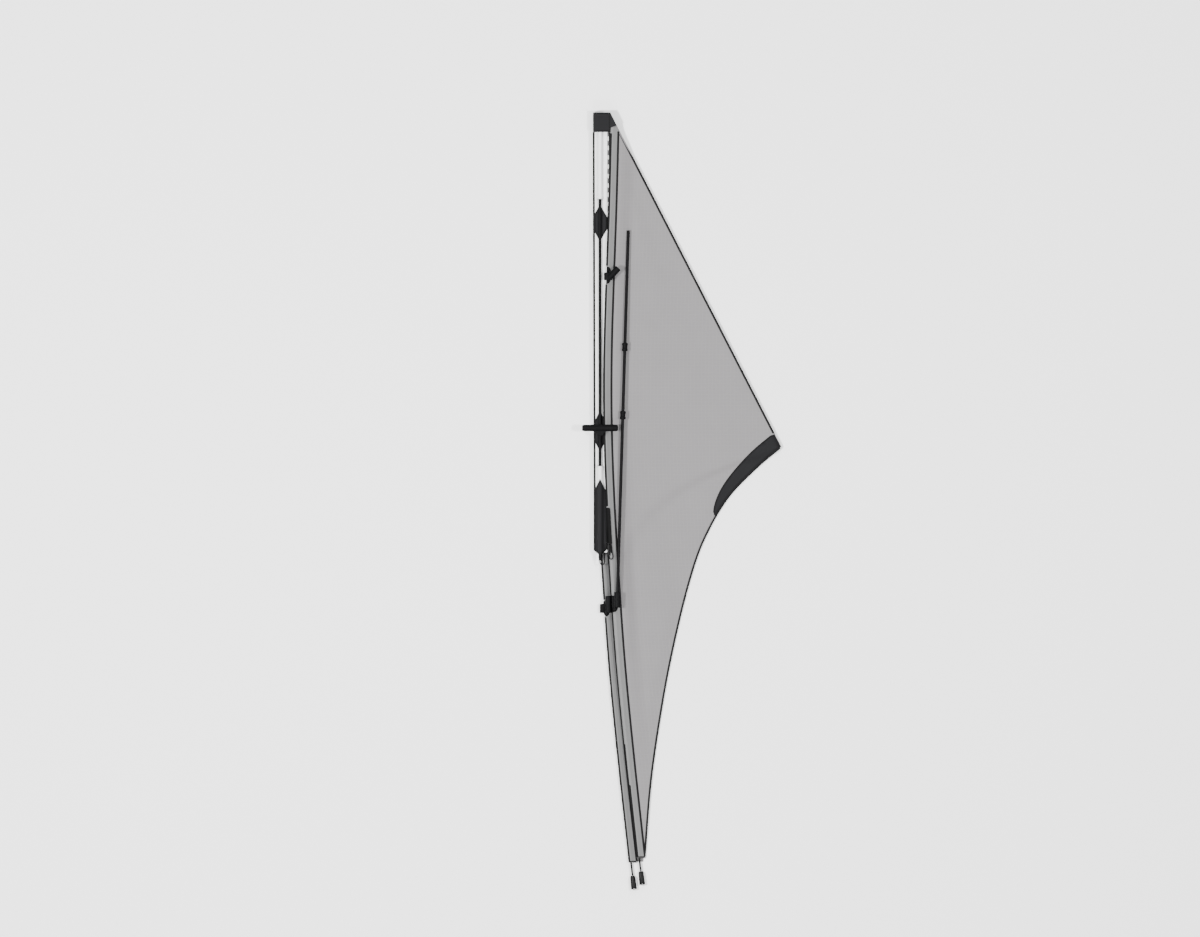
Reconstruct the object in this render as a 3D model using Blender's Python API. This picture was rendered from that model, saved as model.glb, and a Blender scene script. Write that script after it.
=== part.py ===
"""A full-size two-line delta kite, put away: the sail is folded in half and lies flat with its frame.

The right wing lies on top of the left one. Each wing is folded once more along a line from the nose,
so that both leading edges lie near the spine. From the floor up, the layers are the left outer panel,
the left inner panel, the right inner panel and the right outer panel.

Sizes are in millimetres and become metres where a mesh is made. x runs across from the spine's axis,
s runs from the nose to the wing tips, and z is the height over the floor.
"""

import math

import bmesh
import bpy
from mathutils import Vector

MM = 0.001

# The frame
ROD_RADIUS = 3.3
SPINE_HEIGHT = 20.4
SPINE_START, SPINE_END = 6.0, 970.0
LEADING_ROD_START = 20.0
CORD_IN_SLEEVE = 25.0
BORE_RADIUS = 3.7

# The cloth
CLOTH = 1.0
GAP = 0.3
FOLD_AT_NOSE = 22.4
FOLD_SLOPE = 0.5125
FOLD_END = 736.0
INNER_END = 966.0
COLUMNS = 11
LEFT_OUTER_HEIGHT = 0.5
LEFT_INNER_HEIGHT, LEFT_INNER_CREST = 3.0, 12.0
RIGHT_INNER_HEIGHT, STRIP_HEIGHT = 5.5, 15.0
RIGHT_OUTER_HEIGHT, RIGHT_OUTER_LOW = 8.0, 3.0

# The light strip down the middle of the sail
STRIP_EDGE = 17.0
STRIP_START, STRIP_END = 4.0, 968.0
UPPER_SLIT, LOWER_SLIT = 190.0, 778.0
SLIT_LENGTH = 3.0
STRIP_FOLD_RADIUS, STRIP_LAP = 1.5, 2.2
PATCH_HEIGHT = STRIP_HEIGHT + CLOTH + GAP

# The leading-edge sleeves
SLEEVE_HALF = 9.5
SLEEVE_ROD_SIDE, SLEEVE_ROD_HEIGHT, SLEEVE_ROUND = -4.5, 5.0, 4.5
SLEEVE_SEAM_HEIGHT = 3.4
SAIL_IN_SLEEVE = 1.9
SLEEVE_LAP = 5.0
RIGHT_SLEEVE_START, RIGHT_SLEEVE_END = 34.0, 1640.0
LEFT_SLEEVE_START, LEFT_SLEEVE_END = 44.0, 1650.0
LEFT_SLEEVE_SHIFT = -19.0
SLEEVE_RISE, SLEEVE_RISE_AT_TIP = 17.2, 2.2
RISE_ENDS = 985.0

# The centre T
T_STATION = 694.0
T_HALF, T_RADIUS, T_HEIGHT = 39.8, 7.0, 34.7
SOCKET_DEPTH = 29.0

FOLD_CORNER = FOLD_AT_NOSE + FOLD_SLOPE * FOLD_END
MIDDLE_X = (FOLD_CORNER - T_HALF) / 2
MIDDLE_S = LEFT_SLEEVE_END / 2

# (station, middle of the right sleeve)
LEADING_EDGE = (
    (0, 32.6),
    (200, 27.4),
    (400, 20.4),
    (520, 17.0),
    (640, 16.3),
    (760, 18.7),
    (880, 24.0),
    (1000, 31.0),
    (1200, 45.0),
    (1400, 64.0),
    (1650, 91.2),
)

# (station, edge of the outer panel)
TRAILING_EDGE = (
    (736, 399.6),
    (782, 345.0),
    (849, 281.0),
    (940, 229.0),
    (1028, 198.0),
    (1160, 165.0),
    (1292, 139.0),
    (1468, 113.0),
    (1650, 98.0),
)

# (station, edge of the inner panel), which the outer panel hides
INNER_EDGE = (
    (736, 399.6),
    (756, 322.0),
    (790, 225.0),
    (840, 132.0),
    (900, 66.0),
    (966, 24.0),
)


def at(x, s, z):
    return Vector(((x - MIDDLE_X) * MM, (MIDDLE_S - s) * MM, z * MM))


def through(rows, s):
    """Reads a smooth curve through (station, value) rows at the station s, straight on past its ends."""
    last = len(rows) - 1

    def slope(i):
        low, high = max(i - 1, 0), min(i + 1, last)
        return (rows[high][1] - rows[low][1]) / (rows[high][0] - rows[low][0])

    if s <= rows[0][0]:
        return rows[0][1] + slope(0) * (s - rows[0][0])
    if s >= rows[last][0]:
        return rows[last][1] + slope(last) * (s - rows[last][0])
    i = next(k for k in range(last) if s <= rows[k + 1][0])
    span = rows[i + 1][0] - rows[i][0]
    t = (s - rows[i][0]) / span
    return (
        (1 + 2 * t) * (1 - t) ** 2 * rows[i][1]
        + t * t * (3 - 2 * t) * rows[i + 1][1]
        + span * slope(i) * t * (1 - t) ** 2
        - span * slope(i + 1) * t * t * (1 - t)
    )


def fall(t):
    """Eases from 1 at t = 0 to 0 at t = 1."""
    t = min(max(t, 0.0), 1.0)
    return 1 - t * t * (3 - 2 * t)


def spread(first, last, count):
    return [first + (last - first) * i / count for i in range(count + 1)]


def fold_x(s):
    return FOLD_AT_NOSE + FOLD_SLOPE * s


def right_sleeve(s):
    """The middle of the right sleeve and the height of its underside."""
    drop = max(s - RISE_ENDS, 0) / (RIGHT_SLEEVE_END - RISE_ENDS)
    return through(LEADING_EDGE, s), SLEEVE_RISE + (SLEEVE_RISE_AT_TIP - SLEEVE_RISE) * drop


def left_sleeve(s):
    return through(LEADING_EDGE, s) + LEFT_SLEEVE_SHIFT, 0.0


def rod_in(sleeve, s):
    middle, low = sleeve(s)
    return middle + SLEEVE_ROD_SIDE, s, low + SLEEVE_ROD_HEIGHT


# Making objects


def paint(name, colour, roughness, metallic=0.0):
    made = bpy.data.materials.new(name)
    made.use_nodes = True
    made.diffuse_color = (*colour, 1)
    shader = made.node_tree.nodes["Principled BSDF"]
    shader.inputs["Base Color"].default_value = (*colour, 1)
    shader.inputs["Roughness"].default_value = roughness
    shader.inputs["Metallic"].default_value = metallic
    return made


def place(name, mesh, material):
    obj = bpy.data.objects.new(name, mesh)
    bpy.context.scene.collection.objects.link(obj)
    if material:
        mesh.materials.append(material)
    return obj


def shade(mesh, angle=40):
    """Smooth shading, with edges sharper than the angle left crisp."""
    mesh.shade_smooth()
    mesh.set_sharp_from_angle(angle=math.radians(angle))


def solid(name, points, faces, material=None):
    """A closed mesh with its faces turned outwards."""
    mesh = bpy.data.meshes.new(name)
    mesh.from_pydata(points, [], faces)
    shape = bmesh.new()
    shape.from_mesh(mesh)
    bmesh.ops.recalc_face_normals(shape, faces=shape.faces)
    shape.to_mesh(mesh)
    shape.free()
    shade(mesh)
    return place(name, mesh, material)


def sheet(name, rows, material, cut=()):
    """Cloth on rows of (x, s, z) points at its middle. None leaves a point out, and cut leaves cells out."""
    points, index = [], {}
    for i, row in enumerate(rows):
        for j, point in enumerate(row):
            if point is not None:
                index[i, j] = len(points)
                points.append(at(*point))
    faces = []
    for i in range(len(rows) - 1):
        for j in range(len(rows[i]) - 1):
            corners = ((i, j), (i + 1, j), (i + 1, j + 1), (i, j + 1))
            if (i, j) not in cut and all(corner in index for corner in corners):
                faces.append([index[corner] for corner in corners])
    mesh = bpy.data.meshes.new(name)
    mesh.from_pydata(points, [], faces)
    shade(mesh, 60)
    obj = place(name, mesh, material)
    thicken = obj.modifiers.new("Thickness", "SOLIDIFY")
    thicken.thickness = CLOTH * MM
    thicken.offset = 0
    return obj


def prism(name, outline, low, high, material=None):
    """An outline of (x, s) points, upright from the height low to the height high."""
    count = len(outline)
    points = [at(x, s, z) for z in (low, high) for x, s in outline]
    sides = [[i, (i + 1) % count, count + (i + 1) % count, count + i] for i in range(count)]
    return solid(name, points, [list(range(count)), list(range(count, 2 * count)), *sides], material)


def block(name, x, s, z, material=None):
    return prism(name, [(x[0], s[0]), (x[1], s[0]), (x[1], s[1]), (x[0], s[1])], *z, material)


def turned(name, start, end, profile, material=None, sides=20):
    """A shape turned about the line from start to end, from (distance along it, radius) rows."""
    start, end = at(*start), at(*end)
    along = (end - start).normalized()
    across = along.orthogonal().normalized()
    up = along.cross(across)
    points = []
    for distance, radius in profile:
        for k in range(sides):
            angle = math.tau * (k + 0.5) / sides
            ring = across * math.cos(angle) + up * math.sin(angle)
            points.append(start + along * distance * MM + ring * radius * MM)
    faces = [list(range(sides)), list(range(len(points) - sides, len(points)))]
    for i in range(len(profile) - 1):
        for k in range(sides):
            n = (k + 1) % sides
            faces.append([i * sides + k, i * sides + n, (i + 1) * sides + n, (i + 1) * sides + k])
    return solid(name, points, faces, material)


def length_of(start, end):
    return math.dist(start, end)


def cylinder(name, start, end, radius, material=None, sides=20):
    return turned(name, start, end, ((0, radius), (length_of(start, end), radius)), material, sides)


def rounded(length, radius, edge, steps=3, blunt=1.0):
    """A straight profile whose two ends are rounded over by edge, for blunt times as far."""
    turns = [math.pi / 2 * i / steps for i in range(steps + 1)]
    first = [
        (blunt * edge * (1 - math.sin(a)), radius - edge * (1 - math.cos(a))) for a in reversed(turns)
    ]
    return first + [(length - d, r) for d, r in reversed(first)]


def combine(obj, other, operation):
    """Joins another solid to this one, cuts it away, or keeps only what lies in both."""
    other.hide_render = True
    other.display_type = "WIRE"
    step = obj.modifiers.new(other.name, "BOOLEAN")
    step.operation = operation
    step.object = other


def tube(name, route, radius, material, resolution):
    """A round tube along a route of (x, s, z) points."""
    curve = bpy.data.curves.new(name, "CURVE")
    curve.dimensions = "3D"
    curve.bevel_depth = radius * MM
    curve.bevel_resolution = resolution
    curve.use_fill_caps = True
    spline = curve.splines.new("POLY")
    spline.points.add(len(route) - 1)
    for point, place_on_route in zip(spline.points, route):
        point.co = (*at(*place_on_route), 1)
    return place(name, curve, material)


# The sail


def left_outer_height(x, s):
    middle, _ = left_sleeve(s)
    seam = (x - middle - SLEEVE_HALF) / 12
    return LEFT_OUTER_HEIGHT + (SAIL_IN_SLEEVE - LEFT_OUTER_HEIGHT) * fall(seam)


def left_inner_height(x, s):
    middle, _ = left_sleeve(s)
    return LEFT_INNER_HEIGHT + (LEFT_INNER_CREST - LEFT_INNER_HEIGHT) * fall((x - middle) / 34)


def right_inner_height(x, _):
    return RIGHT_INNER_HEIGHT + (STRIP_HEIGHT - RIGHT_INNER_HEIGHT) * fall((x - STRIP_EDGE) / 33)


def right_outer_height(x, s):
    """It falls from the sleeve to the layers below, and lower still where only the left outer panel is."""
    middle, low = right_sleeve(s)
    covered = 1.0 if s <= FOLD_END else fall((x - inner_edge(s) - 6) / 50)
    base = RIGHT_OUTER_LOW + (RIGHT_OUTER_HEIGHT - RIGHT_OUTER_LOW) * covered
    return base + (low + SAIL_IN_SLEEVE - base) * fall((x - middle - SLEEVE_HALF) / 40)


def inner_edge(s):
    if s <= INNER_END:
        return through(INNER_EDGE, s)
    return INNER_EDGE[-1][1] - 2 * (s - INNER_END)


def wing_row(s, sleeve, outer_height, inner_height, inner_end, columns, inset):
    """One section of a folded wing: from its sleeve out to the fold, round it, and back to the middle."""
    middle, _ = sleeve(s)
    seam = middle + SLEEVE_HALF
    bend = 3
    if s <= FOLD_END:
        edge = fold_x(s) - CLOTH / 2 - inset
        deep = (outer_height(edge, s) - inner_height(edge, s)) / 2
        wide = min(deep, (edge - seam) / 2)
        outer_stop = inner_stop = edge - wide
    else:
        outer_stop = max(through(TRAILING_EDGE, s) - inset, seam + 0.6)
        inner_stop = inner_edge(s) - inset
    first = seam - SLEEVE_LAP
    outer = [first + (outer_stop - first) * (i / columns) ** 1.7 for i in range(columns + 1)]
    row = [(x, s, outer_height(x, s)) for x in outer]
    if s > INNER_END:
        return row + [None] * (bend + columns + 1)
    if s <= FOLD_END:
        top, bottom = outer_height(outer_stop, s), inner_height(inner_stop, s)
        for k in range(1, bend + 1):
            angle = math.pi * (0.5 - k / (bend + 1))
            x = outer_stop + wide * math.cos(angle)
            z = (top + bottom) / 2 + (top - bottom) / 2 * math.sin(angle)
            row.append((x, s, z))
    else:
        row += [None] * bend
    last = inner_end(s)
    back = [last + (inner_stop - last) * (1 - i / columns) ** 1.7 for i in range(columns + 1)]
    return row + [(x, s, inner_height(x, s)) for x in back]


def wing_stations(first, tip):
    stations = [first, 66, 95, 140, 200, 280, 370, 460, 550, 640, 700, FOLD_END]
    stations += [746, 758, 774, 796, 824, 858, 896, 932, INNER_END]
    return stations + spread(INNER_END, tip, 9)[1:]


def wing(name, material, sleeve, outer_height, inner_height, inner_end, first, tip, inset):
    rows = [
        wing_row(s, sleeve, outer_height, inner_height, inner_end, COLUMNS, inset)
        for s in wing_stations(first, tip)
    ]
    return sheet(name, rows, material)


def left_seam(s):
    return strip_fold(s)[0] + STRIP_LAP + GAP


def right_seam(_):
    return STRIP_EDGE + GAP


def make_sail():
    grey = paint("Sail nylon", (0.43, 0.42, 0.42), 0.75)
    wing(
        "sail_left",
        grey,
        left_sleeve,
        left_outer_height,
        left_inner_height,
        left_seam,
        45.0,
        LEFT_SLEEVE_END - 2,
        inset=3.0,
    )
    wing(
        "sail_right",
        grey,
        right_sleeve,
        right_outer_height,
        right_inner_height,
        right_seam,
        40.0,
        RIGHT_SLEEVE_END - 2,
        inset=0.0,
    )


# The strip down the middle, folded along its left side, and the patches on it


def strip_fold(s):
    """The axis of the fold down the strip's left side: its x and its height."""
    return -12.1 + 1.4 * s / STRIP_END, STRIP_HEIGHT - STRIP_FOLD_RADIUS


def pocket(lift=0.0):
    """The right half of the hump over the spine, as (x, z) from the flat strip up to its crown."""
    radius = 4.6 + lift
    foot = [(8.0 + 0.8 * lift, STRIP_HEIGHT + lift), (radius + 0.5, STRIP_HEIGHT + lift + 1.8)]
    turns = [0, 45, 90]
    over = [
        (radius * math.cos(math.radians(a)), SPINE_HEIGHT + radius * math.sin(math.radians(a)))
        for a in turns
    ]
    return foot + over


def strip_section(s, humped, lift=0.0, wrap=180):
    """The strip's section as (x, z) points, from its sewn right edge to the fold and round it."""
    fold, axis = strip_fold(s)
    hump = pocket(lift)
    if not humped:
        hump = [(x, STRIP_HEIGHT + lift) for x, _ in hump]
    section = [(STRIP_EDGE - (0.5 if lift else 0), STRIP_HEIGHT + lift), (12.5, STRIP_HEIGHT + lift)]
    section += hump + [(-x, z) for x, z in reversed(hump[:-1])]
    radius = STRIP_FOLD_RADIUS + lift
    for angle in range(90, 90 + wrap + 1, 45):
        turn = math.radians(angle)
        section.append((fold + radius * math.cos(turn), axis + radius * math.sin(turn)))
    if wrap == 180:
        section.append((fold + STRIP_LAP, axis - radius))
    return section


def make_strip():
    white = paint("Light polyester", (0.76, 0.76, 0.76), 0.7)
    pieces = [
        (spread(STRIP_START, UPPER_SLIT, 3), True),
        (spread(UPPER_SLIT + SLIT_LENGTH, LOWER_SLIT - SLIT_LENGTH, 5), False),
        (spread(LOWER_SLIT, STRIP_END, 3), True),
    ]
    rows, cut = [], set()
    for stations, humped in pieces:
        if rows:
            cut |= {(len(rows) - 1, j) for j in range(2, 10)}
        rows += [[(x, s, z) for x, z in strip_section(s, humped)] for s in stations]
    sheet("centre_strip", rows, white, cut)


def patch(name, material, outline, humped):
    """A patch sewn on the strip: cloth in the strip's shape, trimmed to an outline of (x, s) points."""
    stations = [s for _, s in outline]
    first, last = min(stations) - 2, max(stations) + 2
    middle = (first + last) / 2
    section = strip_section(middle, humped, CLOTH + GAP, wrap=90)
    obj = sheet(name, [[(x, s, z) for x, z in section] for s in (first, last)], material)
    combine(obj, prism(name + "_outline", outline, 0, 60), "INTERSECT")


def diamond(s, half_width, half_height):
    return [(0, s - half_height), (half_width, s), (0, s + half_height), (-half_width, s)]


def make_patches():
    dark = paint("Dark reinforcement", (0.035, 0.035, 0.037), 0.8)
    patch("diamond_upper", dark, diamond(243, 23, 41), False)
    patch("diamond_lower", dark, diamond(701, 23, 45), False)
    half, shoulder, corner = 18, 842, 962
    tail = [(0, 806), (half, shoulder), (half, corner), (0, 972)]
    tail += [(-half, corner), (-half, shoulder)]
    patch("tail_patch", dark, tail, True)

    # The nose is wrapped in one thick piece, open to the right.
    left, top, bottom, edge, radius = -15.0, 26.4, CLOTH / 2, 22.9, 6.0
    section = [(edge, top)]
    for low, high, height in ((90, 180, top - radius), (180, 270, bottom + radius)):
        for angle in range(low, high + 1, 30):
            turn = math.radians(angle)
            section.append((left + radius * (1 + math.cos(turn)), height + radius * math.sin(turn)))
    section.append((edge, bottom))
    sheet("nose_patch", [[(x, s, z) for x, z in section] for s in (0, 43)], dark)
    flap = [(edge + GAP, 1), (36.6, 28), (edge + GAP, RIGHT_SLEEVE_START - 1)]
    prism("nose_flap", flap, top - CLOTH / 2, top + CLOTH / 2, dark)
    make_edge_patch(dark)


def trailing_point(distance):
    """The point that lies this far along the trailing edge from the folded corner, and the way on."""
    s, step, done = FOLD_END, 2.0, 0.0
    while True:
        x, ahead = through(TRAILING_EDGE, s), through(TRAILING_EDGE, s + step)
        length = math.hypot(ahead - x, step)
        if done + length >= distance:
            part = (distance - done) / length
            way = ((ahead - x) / length, step / length)
            return x + (ahead - x) * part, s + step * part, way
        done, s = done + length, s + step


def make_edge_patch(dark):
    """A half lens on the trailing edge: the other half is round the folded corner, inside."""
    length, depth, rim = 213.0, 36.0, 1.0
    up_the_fold = Vector((-FOLD_SLOPE, -1.0)).normalized()
    border, edge = [], []
    for distance in (0, 24, 55, 90, 125, 158, 184, 201, 210):
        x, s, way = trailing_point(distance)
        inwards = Vector((-way[1], way[0]))
        turn = fall(distance / 60)
        inwards = (inwards * (1 - turn) + up_the_fold * turn).normalized()
        reach = depth * math.sqrt(1 - (distance / length) ** 2)
        edge.append((x + inwards.x * rim, s + inwards.y * rim))
        border.append((x + inwards.x * reach, s + inwards.y * reach))
    border[0] = (border[0][0] + 12, border[0][1] - 1)
    edge[0] = (edge[0][0] + 12, edge[0][1])

    rows = []
    for s in wing_stations(40.0, RIGHT_SLEEVE_END):
        if 690 < s < 950:
            panel = wing_row(
                s, right_sleeve, right_outer_height, right_inner_height, right_seam, COLUMNS, 0
            )[: COLUMNS + 1]
            rows.append([(x, s, z + CLOTH + GAP) for x, s, z in panel])
    cover = sheet("edge_patch", rows, dark)
    combine(cover, prism("edge_patch_outline", edge + border[::-1], -5, 60), "INTERSECT")


# The leading edges


def sleeve_section():
    """A sleeve's section as (side, height) points from its middle: the lap, round the rod, the lap."""
    around = []
    for angle in range(270, 89, -45):
        turn = math.radians(angle)
        side = SLEEVE_ROD_SIDE + SLEEVE_ROUND * math.cos(turn)
        around.append((side, SLEEVE_ROD_HEIGHT + SLEEVE_ROUND * math.sin(turn)))
    crown = around[-1]
    slope = (SLEEVE_SEAM_HEIGHT - crown[1]) / (SLEEVE_HALF - crown[0])
    over = [(side, crown[1] + slope * (side - crown[0])) for side in (-2.2, 2.5, SLEEVE_HALF)]
    under = [(side, CLOTH / 2) for side in (SLEEVE_HALF, 2.5, -2.2)]
    return under + around + over


def make_sleeve(name, sleeve, first, last, notches, material):
    """A cloth sleeve round a leading-edge rod, cut away at each fitting."""
    lip = 6.0
    stations = set(spread(first, last, 18))
    for start, end in notches:
        stations = {s for s in stations if not start - 20 < s < end + 20}
        stations |= {start, start + lip, end - lip, end}
    stations = sorted(stations)
    section = sleeve_section()
    rows, cut = [], set()
    for i, s in enumerate(stations):
        middle, low = sleeve(s)
        rows.append([(middle + side, s, low + height) for side, height in section])
        for start, end in notches:
            if start <= s < end:
                inside = start + lip <= s < end - lip
                cells = range(1, 9) if inside else range(2, 8)
                cut |= {(i, j) for j in cells}
    sheet(name, rows, material, cut)


UPPER_NOTCH = (338.0, 378.0)
RIGHT_NOTCH = (1062.0, 1100.0)
LEFT_NOTCH = (1072.0, 1110.0)


def make_leading_edges():
    grey = paint("Sleeve polyester", (0.37, 0.37, 0.37), 0.7)
    carbon = paint("Carbon rod", (0.02, 0.02, 0.021), 0.35)
    sides = (
        ("right", right_sleeve, RIGHT_SLEEVE_START, RIGHT_SLEEVE_END, (UPPER_NOTCH, RIGHT_NOTCH)),
        ("left", left_sleeve, LEFT_SLEEVE_START, LEFT_SLEEVE_END, (LEFT_NOTCH,)),
    )
    for side, sleeve, first, last, notches in sides:
        make_sleeve("sleeve_" + side, sleeve, first, last, notches, grey)
        rod_end = last - CORD_IN_SLEEVE - GAP
        route = [rod_in(sleeve, s) for s in spread(LEADING_ROD_START, rod_end, 20)]
        tube("leading_rod_" + side, route, ROD_RADIUS, carbon, 3)


# The rods and the moulded fittings


SPREADER_SOCKET = (38.6, 1055.0, 30.8)
SPREADER_TOP = (62.3, 259.6, 14.9)


def on_spreader(s):
    """The point on the lower spreader's axis at the station s."""
    part = (s - SPREADER_SOCKET[1]) / (SPREADER_TOP[1] - SPREADER_SOCKET[1])
    return tuple(a + (b - a) * part for a, b in zip(SPREADER_SOCKET, SPREADER_TOP))


def make_rods():
    carbon = paint("Carbon spar", (0.02, 0.02, 0.021), 0.3)
    rubber = paint("Moulded clip", (0.012, 0.012, 0.012), 0.6)
    start, end = (0, SPINE_START, SPINE_HEIGHT), (0, SPINE_END, SPINE_HEIGHT)
    length = SPINE_END - SPINE_START
    turned("spine", start, end, rounded(length, ROD_RADIUS, 0.8, 1), carbon, 16)
    bottom, top = on_spreader(SPREADER_SOCKET[1] + SOCKET_DEPTH - 1), SPREADER_TOP
    turned("lower_spreader", bottom, top, rounded(length_of(bottom, top), ROD_RADIUS, 0.8, 1), carbon, 16)
    for name, s in (("standoff_clip_upper", 516.0), ("standoff_clip_lower", 666.0)):
        half, collar, waist = 9.0, 6.4, 5.6
        ends = on_spreader(s - half), on_spreader(s + half)
        profile = ((0, 5.6), (1, collar), (4.5, collar), (5.5, waist), (12.5, waist))
        profile += ((13.5, collar), (17, collar), (18, 5.6))
        clip = turned(name, *ends, profile, rubber)
        reach = on_spreader(s - 2 * half), on_spreader(s + 2 * half)
        combine(clip, cylinder(name + "_bore", *reach, BORE_RADIUS), "DIFFERENCE")


def make_centre_t():
    rubber = paint("Moulded rubber", (0.012, 0.012, 0.012), 0.55)
    ends = (-T_HALF, T_STATION, T_HEIGHT), (T_HALF, T_STATION, T_HEIGHT)
    bar = turned("centre_t", *ends, rounded(2 * T_HALF, T_RADIUS, 3.0, blunt=2.0), rubber, 24)
    hub = block("t_hub", (-6.8, 6.8), (T_STATION - 7, T_STATION + 17), (PATCH_HEIGHT + 0.9, 30))
    combine(bar, hub, "UNION")
    web = [(-20, 3), (-20, 6.5), (-12, 8), (-8.5, 11), (-7, 17)]
    outline = [(x, T_STATION + s) for x, s in web] + [(-x, T_STATION + s) for x, s in reversed(web)]
    combine(bar, prism("t_web", outline, 29, T_HEIGHT + 4), "UNION")
    spine = (0, T_STATION - 40, SPINE_HEIGHT), (0, T_STATION + 40, SPINE_HEIGHT)
    combine(bar, cylinder("t_spine_bore", *spine, BORE_RADIUS), "DIFFERENCE")
    for side in (-1, 1):
        mouth = (side * (T_HALF + 5), T_STATION, T_HEIGHT)
        floor = (side * (T_HALF - SOCKET_DEPTH), T_STATION, T_HEIGHT)
        combine(bar, cylinder(f"t_socket_{side}", mouth, floor, BORE_RADIUS), "DIFFERENCE")


def fitting(name, sleeve, ring, ring_radius, socket, socket_radius, extras, material):
    """A moulded fitting: a ring round the leading-edge rod, and a socket that takes a spreader."""
    ring_ends = [rod_in(sleeve, s) for s in ring]
    body = cylinder(name, *ring_ends, ring_radius, material)
    combine(body, cylinder(name + "_socket", *socket, socket_radius), "UNION")
    for i, extra in enumerate(extras):
        combine(body, block(f"{name}_web_{i}", *extra), "UNION")
    reach = [rod_in(sleeve, s) for s in (ring[0] - 20, ring[1] + 20)]
    combine(body, cylinder(name + "_rod_bore", *reach, BORE_RADIUS + 0.2), "DIFFERENCE")
    mouth, back = Vector(socket[0]), Vector(socket[1])
    way = (back - mouth).normalized()
    bore_ends = tuple(mouth - way * 5), tuple(mouth + way * SOCKET_DEPTH)
    combine(body, cylinder(name + "_bore", *bore_ends, BORE_RADIUS), "DIFFERENCE")
    return body


def make_fittings():
    rubber = paint("Moulded fitting", (0.012, 0.012, 0.012), 0.55)

    x, _, z = rod_in(right_sleeve, 360)
    heel = (x - 8.7, x - 4.5), (352, 369), (z - 4.5, z + 5)
    neck = (x - 4.5, x + 9.8), (352, 369), (z + 4.2, z + 11)
    upper = (40.5, 341.5, z + 9.8), (19.4, 364.2, z + 9.8)
    fitting("upper_fitting_right", right_sleeve, (352, 369), 6.0, upper, 7.0, (heel, neck), rubber)

    x, _, z = rod_in(right_sleeve, 1081)
    web = (x - 1, x + 8), (1071, 1088), (z + 4, z + 9)
    lugs = (
        ((x - 5.4, x + 2), (1064.5, 1076), (z + 5.4, z + 9)),
        ((x - 3.4, x + 2), (1086, 1096), (z + 5.4, z + 9)),
    )
    lower = SPREADER_SOCKET, on_spreader(1089)
    fitting("lower_fitting_right", right_sleeve, (1071, 1091), 6.0, lower, 7.5, (web, *lugs), rubber)

    x, _, z = rod_in(left_sleeve, 1091)
    heel = (x - 13.9, x - 4.5), (1081, 1101), (z - 4.4, z + 4)
    web = (x - 1, x + 7), (1081, 1097), (z + 4, z + 9)
    lower = (18.6, 1063, 15.7), (18.6, 1100.4, 15.7)
    left = fitting("lower_fitting_left", left_sleeve, (1078.5, 1103.5), 6.0, lower, 6.6, (heel, web), rubber)
    combine(left, block("left_floor_cut", (x - 30, x + 30), (1050, 1130), (-20, GAP)), "DIFFERENCE")


# The tail, the tension strap and the tips


def make_tail():
    plastic = paint("Nylon end cap", (0.012, 0.012, 0.012), 0.45)
    elastic = paint("Elastic cord", (0.012, 0.012, 0.012), 0.8)
    start, end = (0, SPINE_END + GAP, SPINE_HEIGHT), (0, 986, SPINE_HEIGHT)
    profile = ((0, 3.2), (1, 3.5), (10, 3.5), (11, 2.7), (13, 2.7), (14, 3.5), (15.7, 2.8))
    turned("spine_cap", start, end, profile, plastic, 16)

    turn, bottom = 4.9, 989.6
    route = [(9.6, STRIP_END + 0.5, 16.6), (9.8, 974.5, 17.2), (9.8, 982, 18.6)]
    for angle in range(0, 181, 30):
        a = math.radians(angle)
        x, s = turn + turn * math.cos(a), bottom + turn * math.sin(a)
        route.append((x, s, SPINE_HEIGHT - 0.8 + 0.8 * angle / 180))
    route[-1] = (0, bottom, SPINE_HEIGHT)
    route.append((0, 986.4, SPINE_HEIGHT))
    tube("tail_loop", route, 1.2, elastic, 2)


STRAP_START, STRAP_END = 869.0, 949.0


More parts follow.
